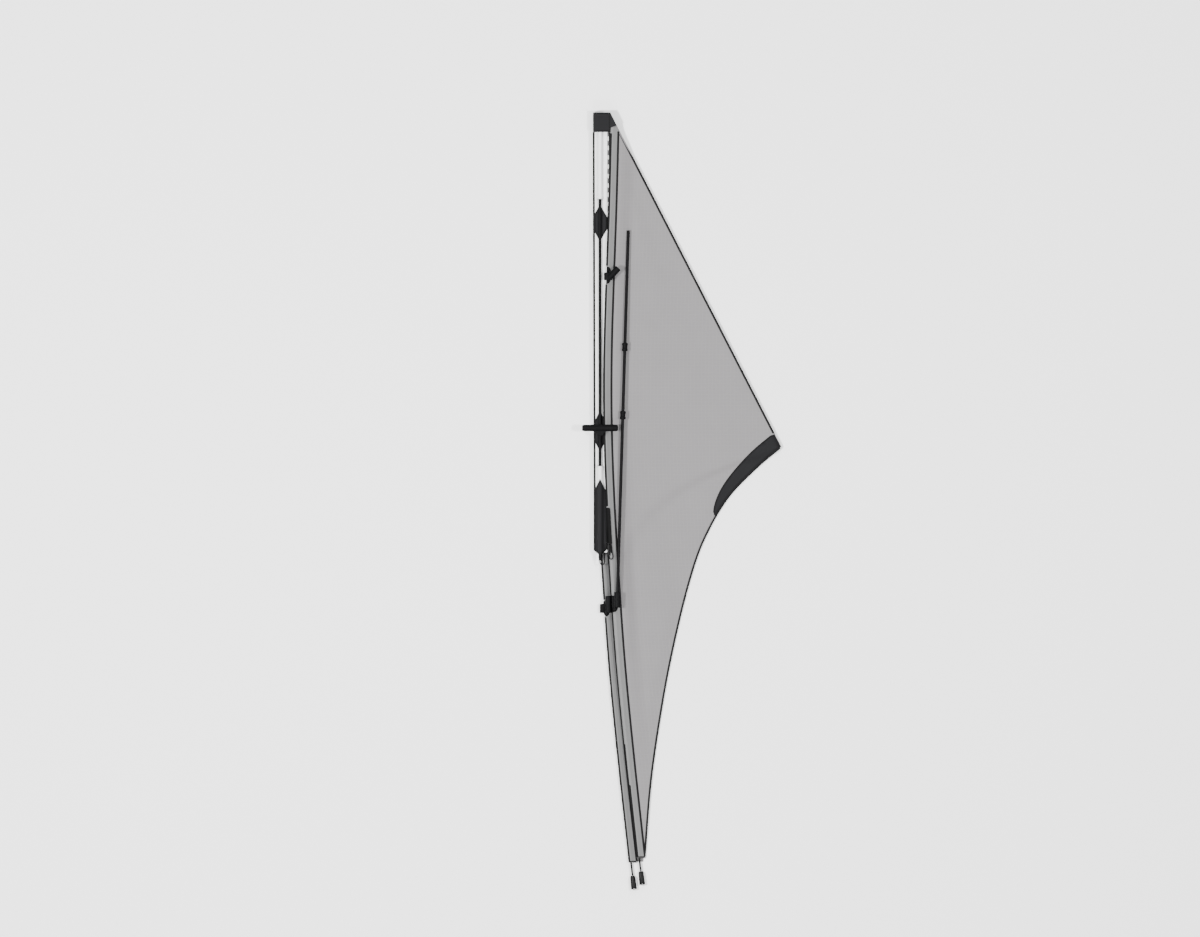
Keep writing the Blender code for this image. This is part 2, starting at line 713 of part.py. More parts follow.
def make_strap():
    """A webbing strap on the right sleeve, over its rod, with a pin and a cord loop at its lower end."""
    webbing = paint("Black webbing", (0.018, 0.018, 0.018), 0.85)
    plastic = paint("Nylon pin", (0.012, 0.012, 0.012), 0.45)
    elastic = paint("Elastic loop", (0.012, 0.012, 0.012), 0.8)
    lift = CLOTH + GAP
    shape = []
    for side, height in sleeve_section()[5:9]:
        away = Vector((side - SLEEVE_ROD_SIDE, height - SLEEVE_ROD_HEIGHT)).normalized() * lift
        shape.append((side + away.x, height + away.y))
    slope = (SLEEVE_SEAM_HEIGHT - shape[2][1] + lift) / (SLEEVE_HALF - shape[2][0])
    shape[3] = (1.5, shape[2][1] + slope * (1.5 - shape[2][0]))
    rows = []
    for s in spread(STRAP_START - 2, STRAP_END, 3):
        middle, low = right_sleeve(s)
        rows.append([(middle + side, s, low + height) for side, height in shape])
    strap = sheet("tension_strap", rows, webbing)
    middle = right_sleeve(STRAP_START)[0] - 6.2
    lean = (right_sleeve(STRAP_END)[0] - right_sleeve(STRAP_START)[0]) / (STRAP_END - STRAP_START)
    radius, far = 5.3, STRAP_END + 9
    outline = []
    for angle in range(180, 361, 20):
        a = math.radians(angle)
        outline.append((middle + radius * math.cos(a), STRAP_START + radius + radius * math.sin(a)))
    drift = lean * (far - STRAP_START)
    outline += [(middle + drift + radius, far), (middle + drift - radius, far)]
    combine(strap, prism("strap_outline", outline, 0, 60), "INTERSECT")

    # The pin lies in the hollow on the left of the sleeve's rod.
    pin_start, pin_end, aside, rise = STRAP_END + GAP, 975.0, 5.2, 6.7
    x, s, z = rod_in(right_sleeve, pin_start)
    x_end, s_end, z_end = rod_in(right_sleeve, pin_end)
    x, x_end = x - aside, x_end - aside
    pin_length = math.hypot(pin_end - pin_start, x_end - x)
    turned(
        "strap_pin",
        (x, s, z + rise),
        (x_end, s_end, z_end + rise),
        rounded(pin_length, 3.0, 1.0, 2),
        plastic,
        14,
    )

    leg, turn, bottom, level = x + 7.4, 4.4, 978.2, z + 6.4
    route = [(leg - 0.5, s + 0.4, level - 0.4), (leg + 0.3, s + 8, level - 0.5)]
    route.append((leg + 1.5, s + 18, level - 0.4))
    centre = x_end + 0.2 + turn
    for angle in range(0, 181, 30):
        a = math.radians(angle)
        height = level + (z_end + rise - level) * angle / 180
        route.append((centre + turn * math.cos(a), bottom + turn * math.sin(a), height))
    route.append((x_end, pin_end + 0.5, z_end + rise))
    tube("strap_loop", route, 1.1, elastic, 2)


def make_tips():
    """An elastic out of each sleeve's end, and the end cap that it pulls over the rod."""
    plastic = paint("Nylon tip cap", (0.012, 0.012, 0.012), 0.45)
    elastic = paint("Elastic tip cord", (0.012, 0.012, 0.012), 0.8)
    tips = (
        ("right", right_sleeve, RIGHT_SLEEVE_END, 1669.0, 89.8, 1699.0, 93.2, 6.5),
        ("left", left_sleeve, LEFT_SLEEVE_END, 1679.0, 71.6, 1709.0, 75.0, 6.7),
    )
    for side, sleeve, sleeve_end, cap_start, cap_x, cap_end, cap_end_x, height in tips:
        x, s, z = rod_in(sleeve, sleeve_end - CORD_IN_SLEEVE)
        start, end = (cap_x, cap_start, height), (cap_end_x, cap_end, height)
        profile = ((0, 3.4), (2, 4.8), (5, 5.2), (28, 6.2), (30, 5.5))
        cap = turned("tip_cap_" + side, start, end, profile, plastic)
        slot = block("slot_" + side, (cap_end_x - 1.2, cap_end_x + 1.2), (cap_end - 7, cap_end + 5), (-5, 30))
        combine(cap, slot, "DIFFERENCE")
        near = (x + 0.11 * 13, s + 13, z)
        mouth = rod_in(sleeve, sleeve_end + 3)
        mouth = (mouth[0] + 0.4, mouth[1], (z + height) / 2)
        stop = (cap_x - 0.04, cap_start - GAP, height)
        route = smooth_route([(x, s, z), near, mouth, stop], 8)
        tube("tip_cord_" + side, route, 2.0, elastic, 2)


def smooth_route(points, count):
    """Points on one smooth curve through the given ones, which are read at their stations."""
    across = [(s, x) for x, s, _ in points]
    heights = [(s, z) for _, s, z in points]
    stations = spread(points[0][1], points[-1][1], count)
    return [(through(across, s), s, through(heights, s)) for s in stations]


for old in list(bpy.data.objects):
    bpy.data.objects.remove(old, do_unlink=True)

make_sail()
make_strip()
make_patches()
make_leading_edges()
make_rods()
make_centre_t()
make_fittings()
make_tail()
make_strap()
make_tips()
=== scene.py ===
"""A full-size two-line delta kite, put away: folded down the middle and laid flat with its frame.

Every piece is placed in the kite's own terms, in millimetres: x runs across from the spine's axis,
s runs from the nose to the wing tips, and z is the height over the floor.
"""

import math

import bmesh
import bpy
from mathutils import Matrix, Vector, noise


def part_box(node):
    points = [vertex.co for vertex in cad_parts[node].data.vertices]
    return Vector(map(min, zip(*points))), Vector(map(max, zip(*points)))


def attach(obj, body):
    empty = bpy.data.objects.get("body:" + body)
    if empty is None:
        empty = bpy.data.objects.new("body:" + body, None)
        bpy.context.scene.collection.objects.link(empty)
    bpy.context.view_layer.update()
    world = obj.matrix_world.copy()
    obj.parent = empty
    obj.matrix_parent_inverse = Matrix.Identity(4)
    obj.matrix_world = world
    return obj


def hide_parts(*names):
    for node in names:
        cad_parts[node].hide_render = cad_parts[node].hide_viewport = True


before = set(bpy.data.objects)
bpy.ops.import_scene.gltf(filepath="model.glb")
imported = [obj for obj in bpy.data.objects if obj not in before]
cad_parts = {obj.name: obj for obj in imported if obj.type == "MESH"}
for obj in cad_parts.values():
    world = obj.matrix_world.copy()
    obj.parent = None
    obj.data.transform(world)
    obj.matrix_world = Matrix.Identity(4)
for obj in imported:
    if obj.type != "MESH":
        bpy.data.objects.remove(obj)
bpy.ops.object.select_all(action="DESELECT")
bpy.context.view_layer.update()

# The view is straight down on the floor where the kite lies, as on a page of its handbook. The spine
# runs up the middle of it, and nothing gets smaller with distance.
spine_low, spine_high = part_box("spine")
NOSE = Vector(((spine_low.x + spine_high.x) / 2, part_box("nose_patch")[1].y, 0))


def kite(x, s, z):
    """A point of the kite, from millimetres to the frame's metres."""
    return NOSE + Vector((x, -s, z)) * 0.001


VIEW_MIDDLE, VIEW_HEIGHT, VIEW_ACROSS = 783.2, 6000, 2640.0
bpy.ops.object.camera_add(location=kite(0, VIEW_MIDDLE, VIEW_HEIGHT), rotation=(0, 0, 0))
camera = bpy.context.object
camera.data.type = "ORTHO"
camera.data.ortho_scale = VIEW_ACROSS / 1000
camera.data.clip_end = 30
bpy.context.scene.camera = camera


# The spine and the lower spreader are straight tubes of wrapped carbon, cut square with their edges
# rubbed down. The spreader's lower end is in its fitting, and its open top end rests on the sail.
SPINE_HEIGHT, SPINE_START, SPINE_END = 20.4, 6, 970
ROD_RADIUS, ROD_HOLLOW = 3.3, 2.1
SPREADER_SOCKET, SPREADER_TOP = (38.6, 1055.0, 30.8), (62.3, 259.6, 14.9)
SPREADER_END = 1083.0
# A wave texture's bands are this many metres apart at scale 1.
WAVE_BAND = 0.314


def linear(code):
    """An sRGB hex colour as linear red, green, blue and alpha."""
    parts = [int(code[i : i + 2], 16) / 255 for i in (1, 3, 5)]
    return (*(p / 12.92 if p <= 0.04045 else ((p + 0.055) / 1.055) ** 2.4 for p in parts), 1.0)


def node(tree, kind, inputs, made=None, **settings):
    """Adds a node, or takes the one made before. An input gets a value, or a link from a node."""
    made = made or tree.nodes.new("ShaderNode" + kind)
    for name, value in settings.items():
        setattr(made, name, value)
    for name, value in inputs.items():
        sockets = made.inputs if isinstance(name, int) else [s for s in made.inputs if s.enabled]
        socket = sockets[name] if isinstance(name, int) else next(s for s in sockets if s.name == name)
        if isinstance(value, bpy.types.Node):
            value = next(s for s in value.outputs if s.enabled)
        if isinstance(value, bpy.types.NodeSocket):
            tree.links.new(value, socket)
        else:
            socket.default_value = value
    return made


def start_material(name, **values):
    """A new material with constant values on its shader. An underscore in a socket's name is a space."""
    made = bpy.data.materials.new(name)
    made.use_nodes = True
    shader = made.node_tree.nodes["Principled BSDF"]
    for socket, value in values.items():
        shader.inputs[socket.replace("_", " ")].default_value = value
    return made, made.node_tree, shader


def bands(tree, flat, apart, way="Y", lean=0, profile="SIN", **inputs):
    """Straight bands over a flat UV map, this many metres apart and turned by lean degrees."""
    place = node(tree, "Mapping", {"Vector": flat, "Rotation": (0, 0, math.radians(lean))})
    inputs = {"Vector": place, "Scale": WAVE_BAND / apart, **inputs}
    return node(tree, "TexWave", inputs, bands_direction=way, wave_profile=profile)


def end_material(tree, shader, deep, pale, factor, height, strength, distance, **more):
    """The material's colour goes from deep to pale by factor, and its relief follows height."""
    tint = node(tree, "Mix", {"Factor": factor, "A": linear(deep), "B": linear(pale)}, data_type="RGBA")
    bump = node(tree, "Bump", {"Strength": strength, "Distance": distance, "Height": height})
    node(tree, "", {"Base Color": tint, "Normal": bump, **more}, made=shader)


def wrapped_carbon():
    """Carbon tube wrapped in 3 mm tape, cured and ground: near black, satin, with a faint spiral."""
    made, tree, shader = start_material(
        "Wrapped carbon tube", Roughness=0.45, IOR=1.5, Specular_IOR_Level=0.05
    )
    flat = node(tree, "UVMap", {}, uv_map="Flat")
    tape = bands(tree, flat, 0.003, lean=35, profile="SAW", Distortion=1.0, Detail=1.0)
    along = node(tree, "Mapping", {"Vector": flat, "Scale": (6000, 200, 1)})
    fibre = node(tree, "TexNoise", {"Vector": along, "Scale": 1.0, "Detail": 3.0})
    both = node(tree, "Mix", {"Factor": 0.45, "A": tape, "B": fibre}, data_type="FLOAT")
    end_material(tree, shader, "#030304", "#0A0A0B", both, both, 0.25, 0.0001)
    return made


def turned(name, start, end, profile, sides=48):
    """A piece turned about a line: a disc is drawn out and resized through (distance, radius) rows."""
    start, end = kite(*start), kite(*end)
    (reached, radius), *rows = profile
    bpy.ops.mesh.primitive_circle_add(vertices=sides, radius=radius / 1000, fill_type="NGON")
    obj = bpy.context.object
    obj.name = obj.data.name = name
    first = reached
    bpy.ops.object.mode_set(mode="EDIT")
    for distance, wide in rows:
        bpy.ops.mesh.extrude_region_move(
            TRANSFORM_OT_translate={"value": (0, 0, (distance - reached) / 1000)}
        )
        bpy.ops.transform.resize(
            value=(wide / radius, wide / radius, 1), center_override=(0, 0, (distance - first) / 1000)
        )
        reached, radius = distance, wide
    bpy.ops.mesh.select_all(action="SELECT")
    bpy.ops.mesh.normals_make_consistent(inside=False)
    bpy.ops.object.mode_set(mode="OBJECT")
    unroll(obj)
    turn = (end - start).to_track_quat("Z", "Y").to_matrix().to_4x4()
    obj.matrix_world = Matrix.Translation(start) @ turn @ Matrix.Translation((0, 0, first / 1000))
    bpy.ops.object.transform_apply(location=True, rotation=True, scale=True)
    bpy.ops.object.shade_smooth_by_angle(angle=math.radians(35))
    obj.select_set(False)
    return obj


def unroll(obj):
    """Gives a piece turned about Z a UV map of its flat size: round it, then along it, in metres."""
    layer = obj.data.uv_layers.new(name="Flat")
    for face in obj.data.polygons:
        corners = [obj.data.vertices[i].co for i in face.vertices]
        middle = math.atan2(face.center.y, face.center.x)
        for loop, co in zip(face.loop_indices, corners):
            angle = middle + (math.atan2(co.y, co.x) - middle + math.pi) % math.tau - math.pi
            layer.data[loop].uv = (angle * math.hypot(co.x, co.y), co.z)


def finish(obj, material, slot, *nodes):
    """Gives a piece its material, puts it on the kite and has it stand for its plain solids."""
    obj.data.materials.clear()
    obj.data.materials.append(material)
    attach(obj, "root")
    if nodes:
        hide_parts(*nodes)
    return obj


def on_spreader(s):
    """The point on the lower spreader's axis at the station s."""
    part = (s - SPREADER_SOCKET[1]) / (SPREADER_TOP[1] - SPREADER_SOCKET[1])
    return tuple(a + (b - a) * part for a, b in zip(SPREADER_SOCKET, SPREADER_TOP))


carbon = wrapped_carbon()
for name, start, end in (
    ("spine", (0, SPINE_START, SPINE_HEIGHT), (0, SPINE_END, SPINE_HEIGHT)),
    ("lower_spreader", on_spreader(SPREADER_END), SPREADER_TOP),
):
    length = math.dist(start, end)
    profile = [(14, ROD_HOLLOW), (0, ROD_HOLLOW), (0, ROD_RADIUS - 0.3), (0.4, ROD_RADIUS)]
    profile += [(length * part, ROD_RADIUS) for part in (0.25, 0.5, 0.75)]
    profile += [(length - d, r) for d, r in reversed(profile[:4])]
    finish(turned(name + "_tube", start, end, profile), carbon, "carbon_rod", name)


# The sail is ripstop nylon, one wing over the other. Each wing is two panels, sewn together and folded
# along a line from the nose: an outer part from its leading edge to the fold, an inner part back.
FOLD_AT_NOSE, FOLD_SLOPE, FOLD_END, INNER_END = 22.4, 0.5125, 736.0, 966.0
SAIL_CLOTH = 0.5
# The heights of the sail's four layers where they lie flat
LEFT_OUTER, LEFT_INNER, RIGHT_INNER, RIGHT_OUTER = 0.5, 3.0, 5.5, 8.0
SLEEVE_HALF, SLEEVE_LAP, SAIL_IN_SLEEVE = 9.5, 5.0, 1.2
# The right sleeve lies on the strip down to a station, and from there slopes down to its tip.
RIGHT_SLEEVE_HEIGHT, RIGHT_SLEEVE_FALL, SLOPES_FROM = 17.2, 15.0, 985.0
LEFT_SLEEVE_SHIFT = 19.0
STRIP_EDGE, STRIP_HEIGHT, STRIP_FOLD_AT_NOSE, STRIP_FOLD_AT_TAIL = 17.0, 15.0, -13.1, -10.8
RIGHT_TIP, LEFT_TIP = 1640.0, 1650.0

# (station, middle of the right sleeve)
LEADING_EDGE = (
    (0, 32.6),
    (200, 27.4),
    (400, 20.4),
    (520, 17.0),
    (640, 16.3),
    (760, 18.7),
    (880, 24.0),
    (1000, 31.0),
    (1200, 45.0),
    (1400, 64.0),
    (1650, 91.2),
)

# (station, edge of the outer part)
TRAILING_EDGE = (
    (736, 399.6),
    (782, 345.0),
    (849, 281.0),
    (940, 229.0),
    (1028, 198.0),
    (1160, 165.0),
    (1292, 139.0),
    (1468, 113.0),
    (1650, 98.0),
)

# (station, edge of the inner part)
INNER_EDGE = ((736, 399.6), (756, 322.0), (790, 225.0), (840, 132.0), (900, 66.0), (966, 24.0))


def through(rows, s):
    """Reads a smooth curve through (station, value) rows, straight on past its ends."""
    last = len(rows) - 1

    def slope(i):
        low, high = max(i - 1, 0), min(i + 1, last)
        return (rows[high][1] - rows[low][1]) / (rows[high][0] - rows[low][0])

    if s <= rows[0][0]:
        return rows[0][1] + slope(0) * (s - rows[0][0])
    if s >= rows[last][0]:
        return rows[last][1] + slope(last) * (s - rows[last][0])
    i = next(k for k in range(last) if s <= rows[k + 1][0])
    span = rows[i + 1][0] - rows[i][0]
    t = (s - rows[i][0]) / span
    return (
        (1 + 2 * t) * (1 - t) ** 2 * rows[i][1]
        + t * t * (3 - 2 * t) * rows[i + 1][1]
        + span * slope(i) * t * (1 - t) ** 2
        - span * slope(i + 1) * t * t * (1 - t)
    )


def fall(t):
    """Eases from 1 at t = 0 to 0 at t = 1."""
    t = min(max(t, 0.0), 1.0)
    return 1 - t * t * (3 - 2 * t)


def spread(first, last, count):
    return [first + (last - first) * i / count for i in range(count + 1)]


def right_sleeve(s):
    """The middle of the right sleeve and the height of its underside."""
    part = max(s - SLOPES_FROM, 0) / (RIGHT_TIP - SLOPES_FROM)
    return through(LEADING_EDGE, s), RIGHT_SLEEVE_HEIGHT - RIGHT_SLEEVE_FALL * part


def left_sleeve(s):
    return through(LEADING_EDGE, s) - LEFT_SLEEVE_SHIFT, 0.0


def fold_line(s):
    return FOLD_AT_NOSE + FOLD_SLOPE * s


def inner_edge(s):
    return through(INNER_EDGE, s) if s <= INNER_END else INNER_EDGE[-1][1] - 2 * (s - INNER_END)


def left_outer_height(x, s):
    out = x - left_sleeve(s)[0] - SLEEVE_HALF
    return LEFT_OUTER + (SAIL_IN_SLEEVE - LEFT_OUTER) * fall(out / 12)


def left_inner_height(x, s):
    return LEFT_INNER + 9.0 * fall((x - left_sleeve(s)[0]) / 34)


def right_inner_height(x, _):
    return RIGHT_INNER + (STRIP_HEIGHT - RIGHT_INNER) * fall((x - STRIP_EDGE) / 33)


def ripple(x, s, seam, edge):
    """How high the slack has puffed up: it fans out from the nose, and is calm at the seam and edges."""
    fan = noise.noise(Vector((9 * x / (s + 90), s / 500, 3.1)))
    slack = noise.noise(Vector((x / 90, s / 170, 7.7)))
    crinkle = noise.noise(Vector((x / 34, s / 52, 12.3)))
    calm = (1 - fall((x - seam - 6) / 46)) * (1 - fall((edge - x) / 34))
    under_rod = math.hypot((x - 62) / 26, (s - 290) / 90)
    calm *= 1 - 0.85 * fall(under_rod)
    return calm * max(0.0, 1.15 + 2.4 * fan + 1.7 * slack + 0.45 * crinkle)


def right_outer_height(x, s):
    """It falls from the sleeve to the parts below, and lower where only the left wing is under it."""
    middle, low = right_sleeve(s)
    seam = middle + SLEEVE_HALF
    edge = fold_line(s) if s <= FOLD_END else through(TRAILING_EDGE, s)
    covered = 1.0 if s <= FOLD_END else fall((x - inner_edge(s) - 6) / 50)
    base = LEFT_INNER + (RIGHT_OUTER - LEFT_INNER) * covered
    base += (low + SAIL_IN_SLEEVE - base) * fall((x - seam) / 40)
    return base + ripple(x, s, seam, edge)


def strip_fold(s):
    """The strip is folded along this line, which leans a little."""
    return min(STRIP_FOLD_AT_NOSE + 2.8 * s / 968, STRIP_FOLD_AT_TAIL)


def left_seam(s):
    """The left wing is sewn in just inside the strip's fold."""
    return strip_fold(s) + 2.8


def right_seam(_):
    return STRIP_EDGE + 0.3


def wing_stations(start):
    """The stations of a wing's rows, down to where its inner part ends."""
    return spread(start, FOLD_END, 64) + spread(FOLD_END, 800, 16)[1:] + spread(800, INNER_END, 20)[1:]


# (sleeve, height of the outer part, height of the inner part, seam at its inner end)
RIGHT = right_sleeve, right_outer_height, right_inner_height, right_seam
LEFT = left_sleeve, left_outer_height, left_inner_height, left_seam
RIGHT_START, LEFT_START = 37.6, 44.0
BEND, COLUMNS, CROWDING = 7, 40, 1.35


def wing_row(s, wing, inset):
    """A section of a wing as (x, s, z): out from its sleeve to the fold, round it and back."""
    sleeve, outer_height, inner_height, inner_end = wing
    seam = sleeve(s)[0] + SLEEVE_HALF
    if s <= FOLD_END:
        edge = fold_line(s) - SAIL_CLOTH / 2 - inset
        deep = (outer_height(edge, s) - inner_height(edge, s)) / 2
        wide = min(deep, (edge - seam) / 2)
        outer_stop = inner_stop = edge - wide
    else:
        outer_stop = max(through(TRAILING_EDGE, s) - inset, seam + 0.6)
        inner_stop = inner_edge(s) - inset
    shares = [(i / COLUMNS) ** CROWDING for i in range(COLUMNS + 1)]
    first, last = seam - SLEEVE_LAP, inner_end(s)
    outer = [first + (outer_stop - first) * share for share in shares]
    row = [(x, s, outer_height(x, s)) for x in outer]
    if s > INNER_END:
        return row + [None] * (BEND + COLUMNS + 1)
    if s <= FOLD_END:
        top, bottom = outer_height(outer_stop, s), inner_height(inner_stop, s)
        for k in range(1, BEND + 1):
            angle = math.pi * (0.5 - k / (BEND + 1))
            z = (top + bottom) / 2 + (top - bottom) / 2 * math.sin(angle)
            row.append((outer_stop + wide * math.cos(angle), s, z))
    else:
        row += [None] * BEND
    back = [last + (inner_stop - last) * share for share in reversed(shares)]
    return row + [(x, s, inner_height(x, s)) for x in back]


def mesh_object(name, points, faces):
    mesh = bpy.data.meshes.new(name)
    mesh.from_pydata(points, [], faces)
    obj = bpy.data.objects.new(name, mesh)
    bpy.context.scene.collection.objects.link(obj)
    return obj


def flat_map(mesh, places):
    """The UV map of a piece of cloth: where each of its points is when it lies flat, in metres."""
    layer = mesh.uv_layers.new(name="Flat")
    for loop in mesh.loops:
        layer.data[loop.index].uv = places[loop.vertex_index]


def sheet(name, rows, cloth, slits=()):
    """Cloth through rows of (x, s, z) points at its middle. Its UV map is the cloth laid flat.
    The (row, column) squares in slits are left open."""
    points, flat, index = [], [], {}
    for i, row in enumerate(rows):
        reach, before = 0.0, None
        for j, point in enumerate(row):
            if point is None:
                continue
            if before:
                reach += math.dist(point, before)
            before = point
            index[i, j] = len(points)
            points.append(kite(*point))
            flat.append((reach / 1000, point[1] / 1000))
    faces = []
    for i in range(len(rows) - 1):
        for j in range(len(rows[i]) - 1):
            corners = ((i, j), (i, j + 1), (i + 1, j + 1), (i + 1, j))
            if (i, j) not in slits and all(corner in index for corner in corners):
                faces.append([index[corner] for corner in corners])
    obj = mesh_object(name, points, faces)
    flat_map(obj.data, flat)
    obj.data.shade_smooth()
    obj["flat_area"] = sum(face.area for face in obj.data.polygons)
    step = obj.modifiers.new("Thickness", "SOLIDIFY")
    step.thickness, step.offset = cloth / 1000, 0
    apply_steps(obj)
    return obj


def apply_steps(obj):
    """Applies a piece's modifiers, from the first to the last."""
    bpy.context.view_layer.objects.active = obj
    for step in list(obj.modifiers):
        bpy.ops.object.modifier_apply(modifier=step.name)


def woven(name, pale, deep, thread, ripstop=0.0, strength=0.35, **values):
    """Woven cloth. Both thread directions show in its relief, and it is a little uneven in colour.
    thread is the distance between the threads that show, in metres. ripstop is the distance between
    the doubled threads that stop a tear, and 0 where the cloth has none."""
    made, tree, shader = start_material(name, **values)
    flat = node(tree, "UVMap", {}, uv_map="Flat")
    waves = [bands(tree, flat, thread, way) for way in "XY"]
    weave = node(tree, "Math", {0: waves[0], 1: waves[1]}, operation="MULTIPLY")
    patchy = node(tree, "TexNoise", {"Vector": flat, "Scale": 14.0, "Detail": 4.0, "Roughness": 0.6})
    shade = node(tree, "Mix", {"Factor": 0.4, "A": patchy, "B": weave}, data_type="FLOAT")
    height = weave
    if ripstop:
        lines = [bands(tree, flat, ripstop, way) for way in "XY"]
        both = node(tree, "Math", {0: lines[0], 1: lines[1]}, operation="MAXIMUM")
        grid = node(tree, "Math", {0: both, 1: 14.0}, operation="POWER")
        shade = node(tree, "Mix", {"Factor": 0.3, "A": shade, "B": grid}, data_type="FLOAT")
        height = node(tree, "Mix", {"Factor": 0.6, "A": weave, "B": grid}, data_type="FLOAT")
    end_material(tree, shader, deep, pale, shade, height, strength, 0.0004)
    return made


# The real cloth has a 5 mm ripstop grid of 0.3 mm threads. It is drawn coarser, to show.
sail_nylon = woven(
    "Coated ripstop nylon",
    "#6E6C6D",
    "#615F60",
    0.0016,
    ripstop=0.008,
    Roughness=0.62,
    IOR=1.5,
    Sheen_Weight=0.06,
)

wings = {}
for side, wing, start, tip, inset in (
    ("left", LEFT, LEFT_START, LEFT_TIP, 3.0),
    ("right", RIGHT, RIGHT_START, RIGHT_TIP, 0.0),
):
    stations = wing_stations(start) + spread(INNER_END, tip - 2, 64)[1:]
    rows = [wing_row(s, wing, inset) for s in stations]
    wings[side] = sheet("sail_cloth_" + side, rows, SAIL_CLOTH)
    finish(wings[side], sail_nylon, "sail_nylon", "sail_" + side)


# The middle of the sail is a strip of light polyester, folded along its left side. It makes a tube
# for the spine at the nose and at the tail. Between two slits the spine lies bare on top of it.
STRIP_CLOTH, STRIP_TURN, UPPER_SLIT, LOWER_SLIT, STRIP_END = 0.7, 1.5, 190.0, 778.0, 968.0
TAPE = 0.9  # the lift of a patch's middle over the middle of the strip


def arc(x, z, radius, angles):
    """Points of a circle as (x, z), at these angles in degrees."""
    turns = [math.radians(angle) for angle in angles]
    return [(x + radius * math.cos(turn), z + radius * math.sin(turn)) for turn in turns]


def strip_section(s, humped, lift=0.0, wrap=180):
    """The strip's section as (x, z), from its sewn right edge over the spine and round the fold."""
    mouth = 0.7 * fall(min(abs(s - UPPER_SLIT), abs(s - LOWER_SLIT)) / 14)
    radius = 4.1 + lift + mouth
    foot = [(9.4, 0.0), (8.0, 0.3), (6.9, 1.2), (6.0, 2.6), (5.1, 4.2)]
    foot = [(x + lift, STRIP_HEIGHT + lift + rise) for x, rise in foot]
    crown = arc(0, SPINE_HEIGHT, radius, range(0, 181, 15))
    over = foot + crown + [(-x, z) for x, z in reversed(foot)]
    if not humped:
        calm = 1 - fall(min(s - UPPER_SLIT, LOWER_SLIT - s) / 30)
        sag = 0.25 * calm * noise.noise(Vector((s / 40, 5.0, 1.0)))
        over = [(x, STRIP_HEIGHT + lift + sag) for x, _ in over]
    edge = STRIP_EDGE - (0.4 if lift else 0.0)
    section = [(x, STRIP_HEIGHT + lift) for x in (edge, 14.6, 12.2)] + over
    fold, turn = strip_fold(s), STRIP_TURN + lift
    section += arc(fold, STRIP_HEIGHT - STRIP_TURN, turn, range(90, 91 + wrap, 15))
    if wrap == 180:
        section.append((fold + 2.2, STRIP_HEIGHT - STRIP_TURN - turn))
    return section


def on_strip(x, s, humped, lift):
    """A point on top of the strip, over its middle surface by lift."""
    section = strip_section(s, humped, lift, wrap=0)
    for (xa, za), (xb, zb) in zip(section, section[1:]):
        if xb <= x <= xa and xa > xb:
            return kite(x, s, za + (zb - za) * (xa - x) / (xa - xb))
    return kite(x, s, section[-1][1])


light_polyester = woven(
    "Woven polyester tape", "#E6E6E6", "#DADADA", 0.0018, strength=0.3, Roughness=0.8, IOR=1.5
)
rows, slits = [], []
for first, last, count, humped in (
    (4.0, UPPER_SLIT, 30, True),
    (UPPER_SLIT + 0.02, LOWER_SLIT - 0.02, 90, False),
    (LOWER_SLIT, STRIP_END, 30, True),
):
    for s in spread(first, last, count):
        rows.append([(x, s, z) for x, z in strip_section(s, humped)])
    # A slit parts it from the next rows over the spine, from one foot of its tube to the other.
    slits += [(len(rows) - 1, column) for column in range(4, 24)]
strip = sheet("middle_strip", rows, STRIP_CLOTH, slits)
finish(strip, light_polyester, "light_polyester", "centre_strip")


# The strip is sewn down in dark thread, with slanted stitches over its fold and a zigzag along its
# right edge. A grey tape covers that edge as painted seam shade, and long white tacking stitches hold it
# near the nose.
def thread(name, colour, deep):
    """Polyester sewing thread: two plies twisted together, with a slight sheen."""
    made, tree, shader = start_material(name, Roughness=0.6, IOR=1.5, Specular_IOR_Level=0.2)
    ply = node(tree, "TexNoise", {"Vector": node(tree, "TexCoord", {}).outputs["Object"], "Scale": 900.0})
    end_material(tree, shader, deep, colour, ply, ply, 0.3, 0.0002)
    return made


white_thread = thread("White polyester thread", "#F4F4F2", "#E2E2E0")
dark_thread = thread("Charcoal polyester thread", "#080809", "#040404")
# The real thread is 0.4 mm thick. It is drawn thicker in every seam, to show.
THREAD, TACKING_THREAD = 1.3, 3.0
ZIGZAG_STEP, LACING_STEP = 0.8, 0.6


def length_of(line):
    """The length of a line of points, in metres."""
    return sum((b - a).length for a, b in zip(line, line[1:]))


def along(line, reach):
    """The point of a line this many millimetres from its start, and the way on from it."""
    for start, end in zip(line, line[1:]):
        length = (end - start).length * 1000
        if reach <= length or end is line[-1]:
            return start.lerp(end, reach / length), (end - start).normalized()
        reach -= length


def running(line, pitch, long):
    """Straight stitches along a line, as (start, end) points."""
    count = int((length_of(line) * 1000 - long) / pitch) + 1
    return [(along(line, i * pitch)[0], along(line, i * pitch + long)[0]) for i in range(count)]


def zigzag(line, width=2.8):
    """Slanted stitches that cross a line from side to side, as (start, end) points."""
    turns = []
    for i in range(int(length_of(line) * 1000 / ZIGZAG_STEP) + 1):
        middle, way = along(line, i * ZIGZAG_STEP)
        side = way.cross(Vector((0, 0, 1))).normalized()
        turns.append(middle + side * (width / 2000 if i % 2 else -width / 2000))
    return list(zip(turns, turns[1:]))


def lacing(left, right):
    """Slanted stitches to and fro between two lines of like length, as (start, end) points."""
    count = int(length_of(left) * 1000 / LACING_STEP)
    turns = [along(right if i % 2 else left, i * LACING_STEP)[0] for i in range(count + 1)]
    return list(zip(turns, turns[1:]))


